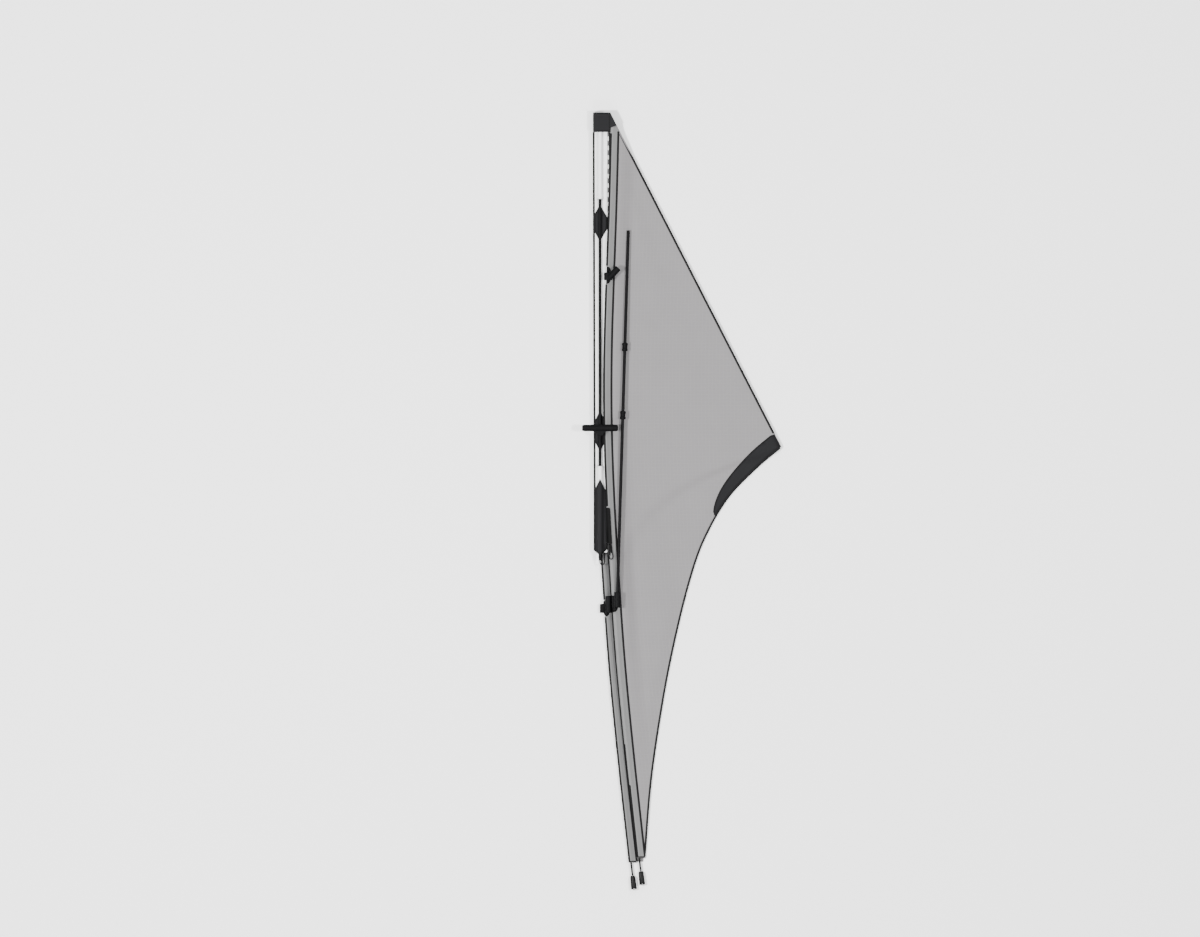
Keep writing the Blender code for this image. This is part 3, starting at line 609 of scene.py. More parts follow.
def face_outwards(mesh):
    shape = bmesh.new()
    shape.from_mesh(mesh)
    bmesh.ops.recalc_face_normals(shape, faces=shape.faces)
    shape.to_mesh(mesh)
    shape.free()


def stitches(name, crossings, slot, material=dark_thread, wide=THREAD):
    """A bead of thread from each start to its end, dipping into the cloth at both."""
    points, faces = [], []
    for start, end in crossings:
        base = len(points)
        way = (end - start).normalized()
        side = way.cross(Vector((0, 0, 1))).normalized()
        up = side.cross(way)
        for part, size, rise in ((0.0, 0.5, -0.5), (0.12, 1.0, 0.2), (0.88, 1.0, 0.2), (1.0, 0.5, -0.5)):
            for across, high in ((-0.5, 0.0), (0.0, 0.42), (0.5, 0.0), (0.0, -0.42)):
                shift = side * across * size + up * (high * size + rise)
                points.append(start.lerp(end, part) + shift * wide / 1000)
        for ring in range(3):
            for k in range(4):
                a, b = base + 4 * ring + k, base + 4 * ring + (k + 1) % 4
                faces.append((a, b, b + 4, a + 4))
        faces += [(base + 3, base + 2, base + 1, base), (base + 12, base + 13, base + 14, base + 15)]
    obj = mesh_object(name, points, faces)
    obj.data.shade_smooth()
    face_outwards(obj.data)
    return finish(obj, material, slot)


def on_sail(x, s, outer_height):
    """A point for a seam on a wing's outer part."""
    return kite(x, s, outer_height(x, s) + SAIL_CLOTH / 2 + 0.1)


# This grey tape is painted seam shade: a grey sheet laid along the strip's right edge to darken the seam
# line there.
seam_shade_tape = woven(
    "Grey seam tape as painted seam shade", "#525252", "#474747", 0.0016, strength=0.4, Roughness=0.8, IOR=1.5
)
rows = [[(x, s, STRIP_HEIGHT + 0.75) for x in (16.0, 17.1, 18.2, 19.3, 20.4)] for s in spread(44, 270, 60)]
tape = sheet("strip_seam_shade_tape", rows, 0.4)
finish(tape, seam_shade_tape, "sail_nylon")
tacks = [kite(18.1, s, STRIP_HEIGHT + 1.1) for s in spread(52, 270, 60)]
tacking = running(tacks, 20.6, 10.6)
stitches("strip_tacking", tacking, "light_polyester", white_thread, TACKING_THREAD)
edge = [kite(20.9, s, STRIP_HEIGHT + 0.9) for s in spread(44, 300, 60)]
stitches("strip_seam_right", zigzag(edge, width=3.0), "light_polyester")
over = [kite(strip_fold(s) + 1.3, s, STRIP_HEIGHT + 0.95) for s in spread(43.5, 964, 200)]
round_it = [kite(strip_fold(s) - 3.5, s, STRIP_HEIGHT - 0.9) for s in spread(43.5, 964, 200)]
stitches("strip_seam_left", lacing(over, round_it), "light_polyester")


# The trailing edges are overcast in the same dark thread. Only the upper wing's can be seen.
over, beyond = [], []
for s in spread(FOLD_END + 3, RIGHT_TIP - 4, 300):
    x = through(TRAILING_EDGE, s)
    over.append(on_sail(x - 3.4, s, right_outer_height))
    beyond.append(kite(x + 1.6, s, right_outer_height(x - 3.4, s) - 0.1))
stitches("hem_seam", lacing(over, beyond), "sail_nylon")


# So is the upper wing's fold, where its two panels meet, from the nose to the patch at its corner. Its
# two rows overlap on the crest of the fold.
def on_fold(s, angle):
    """A point for a seam on the cloth of the fold, from its top at 90 degrees to its edge at 0."""
    edge = fold_line(s) - SAIL_CLOTH / 2
    top, bottom = right_outer_height(edge, s), right_inner_height(edge, s)
    deep = (top - bottom) / 2
    x, z = arc(edge - deep, (top + bottom) / 2, deep + SAIL_CLOTH / 2 + 0.1, [angle])[0]
    return kite(x, s, z)


places = spread(30, 706, 200)
inside = [on_sail(fold_line(s) - 5.2, s, right_outer_height) for s in places]
outer, crest, under = ([on_fold(s, angle) for s in places] for angle in (50, 75, -10))
stitches("fold_seam", lacing(inside, outer) + lacing(crest, under), "sail_nylon")


# Dark reinforcements of heavy nylon, cut with a hot knife and sewn on: a piece wrapped round the nose
# with a flap beside it, a diamond under each end of the bare spine, and a patch over the tail.
PATCH_CLOTH, PATCH_LIFT, PATCH_SEAM_LIFT = 0.9, 0.75, 0.55
heavy_nylon = woven(
    "Heavy woven nylon", "#18181A", "#111112", 0.0022, strength=0.5, Roughness=0.8, Specular_IOR_Level=0.15
)


def prism(name, outline, low, high):
    """An upright block with an outline of (x, s), from the height low to the height high."""
    count = len(outline)
    points = [kite(x, s, z) for z in (low, high) for x, s in outline]
    faces = [list(range(count)), list(range(count, 2 * count))]
    faces += [[i, (i + 1) % count, count + (i + 1) % count, count + i] for i in range(count)]
    obj = mesh_object(name, points, faces)
    face_outwards(obj.data)
    return obj


def trim(obj, cutter, operation):
    """Cuts a piece with another solid, which is used up."""
    step = obj.modifiers.new("Trim", "BOOLEAN")
    step.operation, step.object = operation, cutter
    apply_steps(obj)
    bpy.data.objects.remove(cutter)
    return obj


def between(start, end, count):
    """Points as (x, s), from one to another."""
    (xa, sa), (xb, sb) = start, end
    return [(xa + (xb - xa) * part, sa + (sb - sa) * part) for part in spread(0, 1, count)]


def strip_patch(name, outline, humped, plain):
    """Cloth laid over the strip, trimmed to an outline of (x, s), with a seam just inside its edge."""
    stations = [s for _, s in outline]
    first, last = min(stations) - 3, max(stations) + 3
    rows = [
        [(x, s, z) for x, z in strip_section(s, humped, TAPE, wrap=90)]
        for s in spread(first, last, int((last - first) / 5))
    ]
    obj = trim(sheet(name, rows, PATCH_CLOTH), prism("outline", outline, 0, 60), "INTERSECT")
    finish(obj, heavy_nylon, "dark_reinforcement", plain)
    middle_s = sum(stations) / len(stations)
    seam = []
    for start, end in zip(outline, outline[1:] + outline[:1]):
        for x, s in between(start, end, 24)[:-1]:
            x = max(min(x * 0.9, 14.2), -11.4)
            s = middle_s + (s - middle_s) * 0.95
            seam.append(on_strip(x, s, humped, TAPE + 0.5))
    return [obj, stitches(name + "_seam", zigzag(seam + seam[:1]), "dark_reinforcement")]


def diamond(s, half_width, half_height):
    return [(0, s - half_height), (half_width, s), (0, s + half_height), (-half_width, s)]


sewn = [tape]
sewn += strip_patch("upper_diamond_patch", diamond(243, 23, 41), False, "diamond_upper")
sewn += strip_patch("lower_diamond_patch", diamond(701, 23, 45), False, "diamond_lower")
half, shoulder, corner = 18, 842, 959
tail_outline = [(0, 806), (half, shoulder), (half, corner), (0, 975)]
tail_outline += [(-half, corner), (-half, shoulder)]
sewn += strip_patch("tail_reinforcement", tail_outline, True, "tail_patch")

NOSE_EDGE, NOSE_TURN, NOSE_ROUND, NOSE_BOTTOM, NOSE_TOP = 22.9, -9.0, 6.0, 0.5, 26.4


def nose_top(x):
    return NOSE_TOP + 0.25 * math.cos((x - 4) / 6)


section = [(x, nose_top(x)) for x in spread(NOSE_EDGE, NOSE_TURN, 10)[:-1]]
section += arc(NOSE_TURN, NOSE_TOP - NOSE_ROUND, NOSE_ROUND, range(90, 181, 15))
section += arc(NOSE_TURN, NOSE_BOTTOM + NOSE_ROUND, NOSE_ROUND, range(180, 271, 15))
section += [(x, NOSE_BOTTOM) for x in spread(NOSE_TURN, NOSE_EDGE, 6)[1:]]
nose = sheet("nose_wrap", [[(x, s, z) for x, z in section] for s in spread(0, 43, 12)], 1.0)
finish(nose, heavy_nylon, "dark_reinforcement", "nose_patch")
for i, ends in enumerate((((21.5, 1.6), (-8, 1.6)), ((21.5, 41), (-8, 41)), ((21.6, 2), (21.6, 41)))):
    seam = [kite(x, s, nose_top(x) + PATCH_SEAM_LIFT) for x, s in between(*ends, 24)]
    stitches(f"nose_seam_{i}", zigzag(seam), "dark_reinforcement")
outline, low = [(22.0, 0.3), (22.9, 0.3), (36.8, 28.2), (22.0, 33.4)], NOSE_TOP + PATCH_LIFT
flap = prism("nose_tab", outline, low, low + PATCH_CLOTH)
flat_map(flap.data, [point.co.xy for point in flap.data.vertices])
soften = flap.modifiers.new("Worn edge", "BEVEL")
soften.width, soften.segments = 0.0003, 3
apply_steps(flap)
finish(flap, heavy_nylon, "dark_reinforcement", "nose_flap")


# The same cloth makes a half-lens patch on the trailing edge, next to the folded corner. Its other half
# is round the fold, on the inner part of the wing.
LENS_LENGTH, LENS_DEPTH = 213.0, 36.0


def trailing_point(distance):
    """The point this far along the trailing edge from the folded corner, and the way on from it."""
    s, step, done = FOLD_END, 2.0, 0.0
    while True:
        x, ahead = through(TRAILING_EDGE, s), through(TRAILING_EDGE, s + step)
        length = math.hypot(ahead - x, step)
        if done + length >= distance:
            part = (distance - done) / length
            return x + (ahead - x) * part, s + step * part, ((ahead - x) / length, step / length)
        done, s = done + length, s + step


def lens_line(rim, depth, distances):
    """A line of (x, s) inside the trailing edge, by rim and by a share of the half lens's depth."""
    up_the_fold = Vector((-FOLD_SLOPE, -1.0)).normalized()
    line = []
    for distance in distances:
        x, s, way = trailing_point(distance)
        turn = fall(distance / 60)
        inwards = (Vector((-way[1], way[0])) * (1 - turn) + up_the_fold * turn).normalized()
        reach = rim + depth * math.sqrt(max(1 - (distance / LENS_LENGTH) ** 2, 0))
        line.append((x + inwards.x * reach, s + inwards.y * reach))
    return line


distances = [0, 12, 24, 40, 55, 72, 90, 108, 125, 142, 158, 172, 184, 194, 202, 208, 211]
inside, outside = lens_line(0.0, LENS_DEPTH, distances), lens_line(1.0, 0.0, distances)
# The outline starts past the folded corner, so that the cloth's own edge ends the patch there.
inside[0], outside[0] = (inside[0][0] + 12, inside[0][1] - 1), (outside[0][0] + 12, outside[0][1])
panels = [wing_row(s, RIGHT, 0)[: COLUMNS + 1] for s in wing_stations(RIGHT_START) if 690 < s < 950]
rows = [[(x, s, z + PATCH_LIFT) for x, s, z in panel] for panel in panels]
patch = sheet("trailing_edge_patch", rows, PATCH_CLOTH)
trim(patch, prism("outline", outside + inside[::-1], -5, 60), "INTERSECT")
finish(patch, heavy_nylon, "dark_reinforcement", "edge_patch")
for i, (rim, depth) in enumerate(((0.0, LENS_DEPTH - 1.6), (2.6, 0.0))):
    line = lens_line(rim, depth, spread(8, 207, 60))
    seam = [kite(x, s, right_outer_height(x, s) + PATCH_LIFT + PATCH_SEAM_LIFT) for x, s in line]
    stitches(f"edge_patch_seam_{i}", zigzag(seam), "dark_reinforcement")


# A sleeve of woven polyester is sewn round each leading-edge rod, with the sail's edge between its two
# laps. It is cut away where a fitting sits on the rod.
SLEEVE_CLOTH, SLEEVE_ROD_SIDE, SLEEVE_ROD_HEIGHT = 0.6, -4.5, 5.0
RIGHT_NOTCHES = ((338.0, 378.0), (1062.0, 1100.0))
LEFT_NOTCHES = ((1072.0, 1110.0),)
# (start, end, how much later the second row starts)
RIGHT_EDGED = ((46.0, 337.0, 0.0), (379.0, 866.0, 0.0), (1390.0, RIGHT_TIP - 2, 90.0))
LEFT_EDGED = ((966.0, 1071.0, 0.0), (1111.0, LEFT_TIP - 2, 0.0))
# The first point of a sleeve's section that is on its upper side
UPPER_SIDE = 12


def rod_in(sleeve, s):
    middle, low = sleeve(s)
    return middle + SLEEVE_ROD_SIDE, s, low + SLEEVE_ROD_HEIGHT


def rod_reach(s, angle, seed):
    """How far the sleeve's cloth is from the middle of its rod, at an angle round it."""
    return 4.45 + 0.35 * noise.noise(Vector((angle / 60, s / 26, seed)))


def sleeve_section(s, seed):
    """A sleeve's section as (side, height): in along the under lap, round the rod, back to the seam."""
    section = [(side, 0.45) for side in (SLEEVE_HALF, 6.5, 3.5, 0.5, -2.5)]
    for angle in range(262, 58, -12):
        section += arc(SLEEVE_ROD_SIDE, SLEEVE_ROD_HEIGHT, rod_reach(s, angle, seed), [angle])
    side, height = section[-1]
    for part in (0.15, 0.3, 0.45, 0.6, 0.75, 0.88, 1.0):
        sag = 0.9 * math.sin(math.pi * part) * (0.5 + 0.6 * noise.noise(Vector((s / 33, seed, part))))
        section.append((side + (SLEEVE_HALF - side) * part, height + (1.95 - height) * part - sag))
    return section


def notch_outline(sleeve, start, end):
    """The cut at a fitting, as (x, s): open to the left, with its two right corners rounded."""
    outline = []
    for u in spread(-1, 1, 28):
        s = (start + end) / 2 + u * (end - start) / 2
        outline.append((sleeve(s)[0] - 16 + 19.0 * (1 - abs(u) ** 3.2) ** (1 / 3.2), s))
    return outline


def on_sleeve(sleeve, s, side, seed):
    """The point on top of a sleeve's cloth, this far to the right of its middle."""
    middle, low = sleeve(s)
    upper = sleeve_section(s, seed)[UPPER_SIDE:]
    (xa, za), (xb, zb) = next(pair for pair in zip(upper, upper[1:]) if side <= pair[1][0])
    part = min(max((side - xa) / (xb - xa), 0), 1)
    return kite(middle + side, s, low + za + (zb - za) * part + SLEEVE_CLOTH / 2 + 0.1)


def round_rod(sleeve, s, angle, seed):
    """The point on the outside of a sleeve's cloth at an angle round its rod."""
    middle, low = sleeve(s)
    reach = rod_reach(s, angle, seed) + SLEEVE_CLOTH / 2 + 0.1
    side, height = arc(SLEEVE_ROD_SIDE, SLEEVE_ROD_HEIGHT, reach, [angle])[0]
    return kite(middle + side, s, low + height)


sleeve_polyester = woven(
    "Woven polyester sailcloth", "#6A6A6A", "#5D5D5D", 0.002, strength=0.4, Roughness=0.75, IOR=1.5
)
for name, wing, first, last, notches, edged, seed in (
    ("right", RIGHT, 27.0, RIGHT_TIP, RIGHT_NOTCHES, RIGHT_EDGED, 2.0),
    ("left", LEFT, 43.8, LEFT_TIP, LEFT_NOTCHES, LEFT_EDGED, 6.0),
):
    sleeve, outer_height = wing[:2]
    rows = []
    for s in spread(first, last, 220):
        middle, low = sleeve(s)
        rows.append([(middle + side, s, low + height) for side, height in sleeve_section(s, seed)])
    cover = sheet("sleeve_cloth_" + name, rows, SLEEVE_CLOTH)
    for start, end in notches:
        low = sleeve(start)[1]
        trim(cover, prism("notch", notch_outline(sleeve, start, end), low - 3, low + 14), "DIFFERENCE")
    if name == "right":
        # Its top is cut along the sail's fold, and goes under the nose flap.
        slant = [(15, 20), (15, 34.4), (23, 33.2), (36.6, 27.4), (44.4, 43.4), (56, 43.4), (56, 20)]
        trim(cover, prism("slant", slant, 12, 40), "DIFFERENCE")
    finish(cover, sleeve_polyester, "sleeve_polyester", "sleeve_" + name)
    cover["length"] = (last - first) / 1000
    # The stitches that close it cross its edge, from the sleeve down to the sail.
    places = spread(max(first, 42.0), last - 3, 220)
    over = [on_sleeve(sleeve, s, SLEEVE_HALF - 3.1, seed) for s in places]
    beside = [on_sail(sleeve(s)[0] + SLEEVE_HALF + 1.9, s, outer_height) for s in places]
    stitches(f"sleeve_seam_{name}", lacing(over, beside), "sleeve_polyester")
    # Its rod side is overcast where its edge shows, in two rows that overlap round the rod. Near the
    # right tip the second row starts later, as the sleeve comes down beside the other one.
    edging = []
    for start, end, later in edged:
        for begin, low, high in ((start, 170, 126), (start + later, 138, 94)):
            places = spread(begin, end, int((end - begin) / 7))
            rails = ([round_rod(sleeve, s, angle, seed) for s in places] for angle in (low, high))
            edging += lacing(*rails)
    stitches(f"sleeve_edge_{name}", edging, "sleeve_polyester")
    hem = [on_sleeve(sleeve, last - 2.0, side, seed) for side in spread(-8.6, 7.5, 30)]
    stitches(f"sleeve_hem_{name}", zigzag(hem), "sleeve_polyester")


# The leading-edge rods are carbon tubes too, bent by the sleeves that they fill. They show at the nose
# and where the sleeves are cut away.
def tube(name, route, radius, sides=20):
    """A round tube that follows a route of points. Its UV map is its flat size, round and along."""
    points, faces, flat, reach = [], [], [], 0.0
    side = None
    for i, point in enumerate(route):
        ahead = (route[min(i + 1, len(route) - 1)] - route[max(i - 1, 0)]).normalized()
        side = ahead.orthogonal() if side is None else side - ahead * side.dot(ahead)
        side.normalize()
        up = ahead.cross(side)
        reach += (point - route[i - 1]).length if i else 0.0
        for k in range(sides):
            a = math.tau * k / sides
            points.append(point + (side * math.cos(a) + up * math.sin(a)) * radius / 1000)
        if i:
            for k in range(sides):
                n = (k + 1) % sides
                here, back = i * sides, (i - 1) * sides
                faces.append((back + k, back + n, here + n, here + k))
                flat += [(k, before), (k + 1, before), (k + 1, reach), (k, reach)]
        before = reach
    faces += [list(range(sides))[::-1], list(range(len(points) - sides, len(points)))]
    flat += [(k, 0.0) for k in range(sides)] + [(k, reach) for k in range(sides)]
    obj = mesh_object(name, points, faces)
    layer = obj.data.uv_layers.new(name="Flat")
    for loop, (turn, distance) in zip(layer.data, flat):
        loop.uv = (turn * math.tau * radius / 1000 / sides, distance)
    obj.data.shade_smooth()
    obj.data.set_sharp_from_angle(angle=math.radians(50))
    return obj


for side, sleeve, last in (("right", right_sleeve, RIGHT_TIP), ("left", left_sleeve, LEFT_TIP)):
    route = [kite(*rod_in(sleeve, s)) for s in spread(20, last - 25.5, 120)]
    finish(tube("leading_tube_" + side, route, ROD_RADIUS), carbon, "carbon_rod", "leading_rod_" + side)


# The centre T is moulded in one piece: it grips the spine, and takes a lower spreader in each end of
# its bar. It is a black rubbery plastic with rounded edges, dull from handling.
def moulded_rubber():
    """Moulded thermoplastic rubber: matt black, with the fine grain of its mould and pale scuffs."""
    made, tree, shader = start_material("Moulded rubber", IOR=1.5, Specular_IOR_Level=0.07)
    place = node(tree, "TexCoord", {}).outputs["Object"]
    grain = node(tree, "TexNoise", {"Vector": place, "Scale": 1500.0, "Detail": 2.0})
    scuff = node(tree, "TexNoise", {"Vector": place, "Scale": 160.0, "Detail": 6.0, "Roughness": 0.7})
    worn = node(tree, "MapRange", {"Value": scuff, "From Min": 0.52, "From Max": 0.78})
    dull = node(tree, "MapRange", {"Value": scuff, "To Min": 0.45, "To Max": 0.68})
    end_material(tree, shader, "#040405", "#0C0C0D", worn, grain, 0.2, 0.0002, Roughness=dull)
    return made


def block(name, x, s, z, edge):
    """A block between two x, two s and two z, with its edges rounded over."""
    low, high = kite(x[0], s[1], z[0]), kite(x[1], s[0], z[1])
    bpy.ops.mesh.primitive_cube_add(size=1, location=(low + high) / 2)
    obj = bpy.context.object
    obj.name, obj.scale = name, high - low
    bpy.ops.object.transform_apply(location=True, rotation=True, scale=True)
    bpy.ops.object.mode_set(mode="EDIT")
    bpy.ops.mesh.select_all(action="SELECT")
    bpy.ops.mesh.bevel(offset=edge / 1000, segments=3, affect="EDGES")
    bpy.ops.object.mode_set(mode="OBJECT")
    obj.select_set(False)
    return obj


def fuse(name, pieces, voxel=0.45):
    """Fuses pieces into one moulding with small fillets, as they come out of a mould."""
    for piece in pieces:
        piece.select_set(True)
    bpy.context.view_layer.objects.active = pieces[0]
    bpy.ops.object.join()
    obj = bpy.context.object
    obj.name = obj.data.name = name
    blend = obj.modifiers.new("One body", "REMESH")
    blend.mode, blend.voxel_size = "VOXEL", voxel / 1000
    fillet = obj.modifiers.new("Fillets", "SMOOTH")
    fillet.factor, fillet.iterations = 0.5, 5
    thin = obj.modifiers.new("Fewer faces", "DECIMATE")
    thin.ratio = 0.4
    apply_steps(obj)
    for layer in list(obj.data.uv_layers):
        obj.data.uv_layers.remove(layer)
    bpy.ops.object.shade_smooth()
    obj.select_set(False)
    return obj


def barrel(length, radius, edge, *bores, blunt=1.0):
    """A barrel's profile, rounded over at both ends, with a (depth, radius) bore in one or both.
    The rounding is blunt times as long as it is deep."""
    round_over = [
        (blunt * edge * (1 - math.sin(a)), radius - edge * (1 - math.cos(a)))
        for a in (math.pi / 2 * k / 5 for k in range(5, -1, -1))
    ]
    first = list(round_over)
    last = [(length - d, r) for d, r in reversed(round_over)]
    depth, bore = bores[0]
    first = [(depth, bore), (0.8, bore), (0.0, bore + 0.6)] + first
    if len(bores) > 1:
        depth, bore = bores[1]
        last += [(length, bore + 0.6), (length - 0.8, bore), (length - depth, bore)]
    return first + last


rubber = moulded_rubber()
T_STATION, T_HALF, T_HEIGHT, T_RADIUS = 694.0, 39.8, 34.7, 7.4
SOCKET_DEPTH, BORE = 29.0, 3.7
socket = SOCKET_DEPTH, BORE
bar = turned(
    "t_bar",
    (-T_HALF, T_STATION, T_HEIGHT),
    (T_HALF, T_STATION, T_HEIGHT),
    barrel(2 * T_HALF, T_RADIUS, 3.05, socket, socket, blunt=2.3),
)
grip = turned(
    "t_grip",
    (0, T_STATION - 7, SPINE_HEIGHT),
    (0, T_STATION + 17, SPINE_HEIGHT),
    barrel(24.0, 6.0, 1.2, (1.0, BORE)),
)
hub = block("t_hub", (-5.2, 5.2), (T_STATION - 6, T_STATION + 16), (SPINE_HEIGHT, 33.0), 1.2)
web = [(-21, 2), (-21, 6.0), (-13, 7.8), (-9, 10.5), (-6.8, 17)]
web = [(x, T_STATION + s) for x, s in web] + [(-x, T_STATION + s) for x, s in reversed(web)]
centre_t = fuse("centre_t_moulding", [bar, grip, hub, prism("t_web", web, 29.5, T_HEIGHT + 3.8)])
finish(centre_t, rubber, "moulded_rubber", "centre_t")


# Three more mouldings turn on the leading-edge rods. Each is a ring round the rod and a socket on top
# for a spreader, joined by blocks. Only the right lower one has its spreader in it.
def rod_fitting(name, sleeve, ring, ring_radius, socket, profile, blocks, plain):
    """A ring on a sleeve's rod between two stations, a socket along a line, and blocks joining them."""
    start, end = (rod_in(sleeve, s) for s in ring)
    length = math.dist(start, end)
    parts = [turned(name + "_ring", start, end, barrel(length, ring_radius, 1.2, (1.0, BORE)))]
    parts.append(turned(name + "_socket", *socket, profile))
    parts += [block(name + "_block", *sizes, 1.1) for sizes in blocks]
    return finish(fuse(name, parts, voxel=0.4), rubber, "moulded_rubber", plain)


x, _, z = rod_in(right_sleeve, 360)
mouth, back = (40.5, 342.0, z + 9.8), (19.4, 364.2, z + 9.8)
heel = (x - 8.7, x - 4.0), (352, 369), (z - 4.4, z + 4.8)
neck = (x - 4.6, x + 9.6), (352.5, 369), (z + 3, z + 14)
socket = barrel(math.dist(mouth, back), 7.0, 1.4, (SOCKET_DEPTH - 1.5, BORE))
line, blocks = (mouth, back), (heel, neck)
rod_fitting("upper_fitting", right_sleeve, (352, 369), 6.0, line, socket, blocks, "upper_fitting_right")

x, _, z = rod_in(right_sleeve, 1081)
mouth, back = SPREADER_SOCKET, on_spreader(1089)
socket = barrel(math.dist(mouth, back), 7.5, 1.4, (28, BORE - 0.2))
neck = (x - 5.4, x + 8), (1064.5, 1089.5), (z + 2, z + 9)
line, blocks = (mouth, back), (neck,)
rod_fitting("lower_fitting", right_sleeve, (1064, 1096), 6.0, line, socket, blocks, "lower_fitting_right")

x, _, z = rod_in(left_sleeve, 1091)
heel = (x - 13.9, x - 4.0), (1081, 1101), (z - 4.4, z + 4)
neck = (x - 2.5, x + 7), (1076, 1099), (z + 3, z + 9)
mouth, back = (18.6, 1063.4, 15.7), (18.6, 1100.4, 15.7)
socket = barrel(37.0, 6.6, 1.4, (SOCKET_DEPTH, BORE))
line, blocks = (mouth, back), (heel, neck)
rod_fitting("left_fitting", left_sleeve, (1075, 1105.5), 5.6, line, socket, blocks, "lower_fitting_left")


# Two collars on the spreader hold the sail's stand-offs when the kite is up. They are turned to a waist,
# and grip the rod.
for name, s in (("upper", 516.0), ("lower", 666.0)):
    profile = [(0, 3.5), (0, 5.0), (0.5, 5.9), (1.3, 6.4), (4.2, 6.4), (5.0, 6.1), (5.8, 5.6)]
    profile += [(18 - d, r) for d, r in reversed(profile)]
    collar = turned("standoff_collar_" + name, on_spreader(s - 9), on_spreader(s + 9), profile)
    finish(collar, rubber, "moulded_rubber", "standoff_clip_" + name)


# At the tail a nylon cap closes the spine. A loop of braided elastic comes out of the strip's end and
# turns back to the end of the cap.
def moulded_nylon():
    """Injection-moulded nylon: black, a little glossier than the rubber, with shallow flow marks."""
    made, tree, shader = start_material("Moulded nylon", Roughness=0.45, IOR=1.53, Specular_IOR_Level=0.1)
    place = node(tree, "TexCoord", {}).outputs["Object"]
    flow = node(tree, "TexNoise", {"Vector": place, "Scale": 220.0, "Detail": 3.0})
    end_material(tree, shader, "#040405", "#0A0A0B", flow, flow, 0.15, 0.0003)
    return made


def braided_elastic():
    """Elastic under a braided polyester cover: matt black, with the braid's strands in relief."""
    made, tree, shader = start_material("Braided elastic", Roughness=0.8, IOR=1.5, Specular_IOR_Level=0.15)
    flat = node(tree, "UVMap", {}, uv_map="Flat")
    strands = [bands(tree, flat, 0.0008, lean=degrees) for degrees in (40, -40)]
    braid = node(tree, "Math", {0: strands[0], 1: strands[1]}, operation="MAXIMUM")
    end_material(tree, shader, "#030303", "#0B0B0C", braid, braid, 0.6, 0.0002)
    return made


def smooth_route(points, count):
    """Points in metres, evenly spread on one smooth curve through the given (x, s, z) points."""
    bpy.ops.curve.primitive_nurbs_path_add()
    guide = bpy.context.object
    guide.data.splines.clear()
    spline = guide.data.splines.new("BEZIER")
    spline.bezier_points.add(len(points) - 1)
    for knot, point in zip(spline.bezier_points, points):
        knot.co = kite(*point)
        knot.handle_left_type = knot.handle_right_type = "AUTO"
    guide.data.resolution_u = 24
    bpy.ops.object.convert(target="MESH")
    fine = [v.co.copy() for v in bpy.context.object.data.vertices]
    bpy.data.objects.remove(bpy.context.object)
    reach = [0.0]
    for a, b in zip(fine, fine[1:]):
        reach.append(reach[-1] + (b - a).length)
    route = []
    for part in spread(0, reach[-1], count):
        i = next((k for k in range(1, len(fine)) if part <= reach[k]), len(fine) - 1)
        route.append(fine[i - 1].lerp(fine[i], (part - reach[i - 1]) / (reach[i] - reach[i - 1])))
    return route


def bight(x, s, radius, start, end):
    """The half turn at the end of a loop as (x, s, z), rising evenly from a start to an end height."""
    angles = range(0, 181, 30)
    return [(*p, start + (end - start) * a / 180) for p, a in zip(arc(x, s, radius, angles), angles)]


def elastic_cord(name, route, radius, plain):
    """A cord of braided elastic along a route. It is taut where it ends in a fitting, or lies loose."""
    cord = finish(tube(name, route, radius, sides=14), elastic, "elastic_cord", plain)


nylon, elastic = moulded_nylon(), braided_elastic()
profile = [(0, 3.0), (0.3, 3.4), (1, 3.5), (10, 3.5), (10.5, 3.3), (11, 2.7), (13, 2.7), (13.5, 3.3)]
profile += [(14, 3.5), (14.8, 3.4), (15.4, 3.0), (15.7, 2.2)]
cap = turned("spine_end_cap", (0, 970.3, SPINE_HEIGHT), (0, 986, SPINE_HEIGHT), profile)
finish(cap, nylon, "nylon_cap", "spine_cap")
turn, bottom = 4.9, 989.6
points = [(9.6, STRIP_END + 0.5, 16.6), (9.8, 974.5, 17.2), (9.8, 982, 18.6)]
points += bight(turn, bottom, turn, SPINE_HEIGHT - 0.8, SPINE_HEIGHT)
points.append((0, 986.4, SPINE_HEIGHT))
elastic_cord("tail_elastic", smooth_route(points, 34), 1.2, "tail_loop")


# A webbing strap lies on the right sleeve over its rod, rounded at the top. A nylon pin follows it,
# with a loop of elastic cord from the strap round to the pin's end.
STRAP_START, STRAP_END, STRAP_HALF, STRAP_REACH = 869.0, 949.0, 5.3, 5.55
webbing = woven(
    "Black polyester webbing",
    "#0A0A0B",
    "#050505",
    0.0026,
    strength=0.8,
    Roughness=0.8,
    Specular_IOR_Level=0.12,
)
rows = []
for s in spread(STRAP_START - 2, STRAP_END + 22, 26):
    middle, low = right_sleeve(s)
    over = arc(SLEEVE_ROD_SIDE, SLEEVE_ROD_HEIGHT, STRAP_REACH, range(180, 59, -15))
    side, height = over[-1]
    over += [(side + 2, height - 1.0), (side + 4, height - 2.0)]
    rows.append([(middle + a, s, low + b) for a, b in over])
strap = sheet("strap_webbing", rows, 1.2)
middle = right_sleeve(STRAP_START)[0] - 6.2
lean = (right_sleeve(STRAP_END)[0] - right_sleeve(STRAP_START)[0]) / (STRAP_END - STRAP_START)
outline = arc(middle, STRAP_START + STRAP_HALF, STRAP_HALF, range(180, 361, 12))
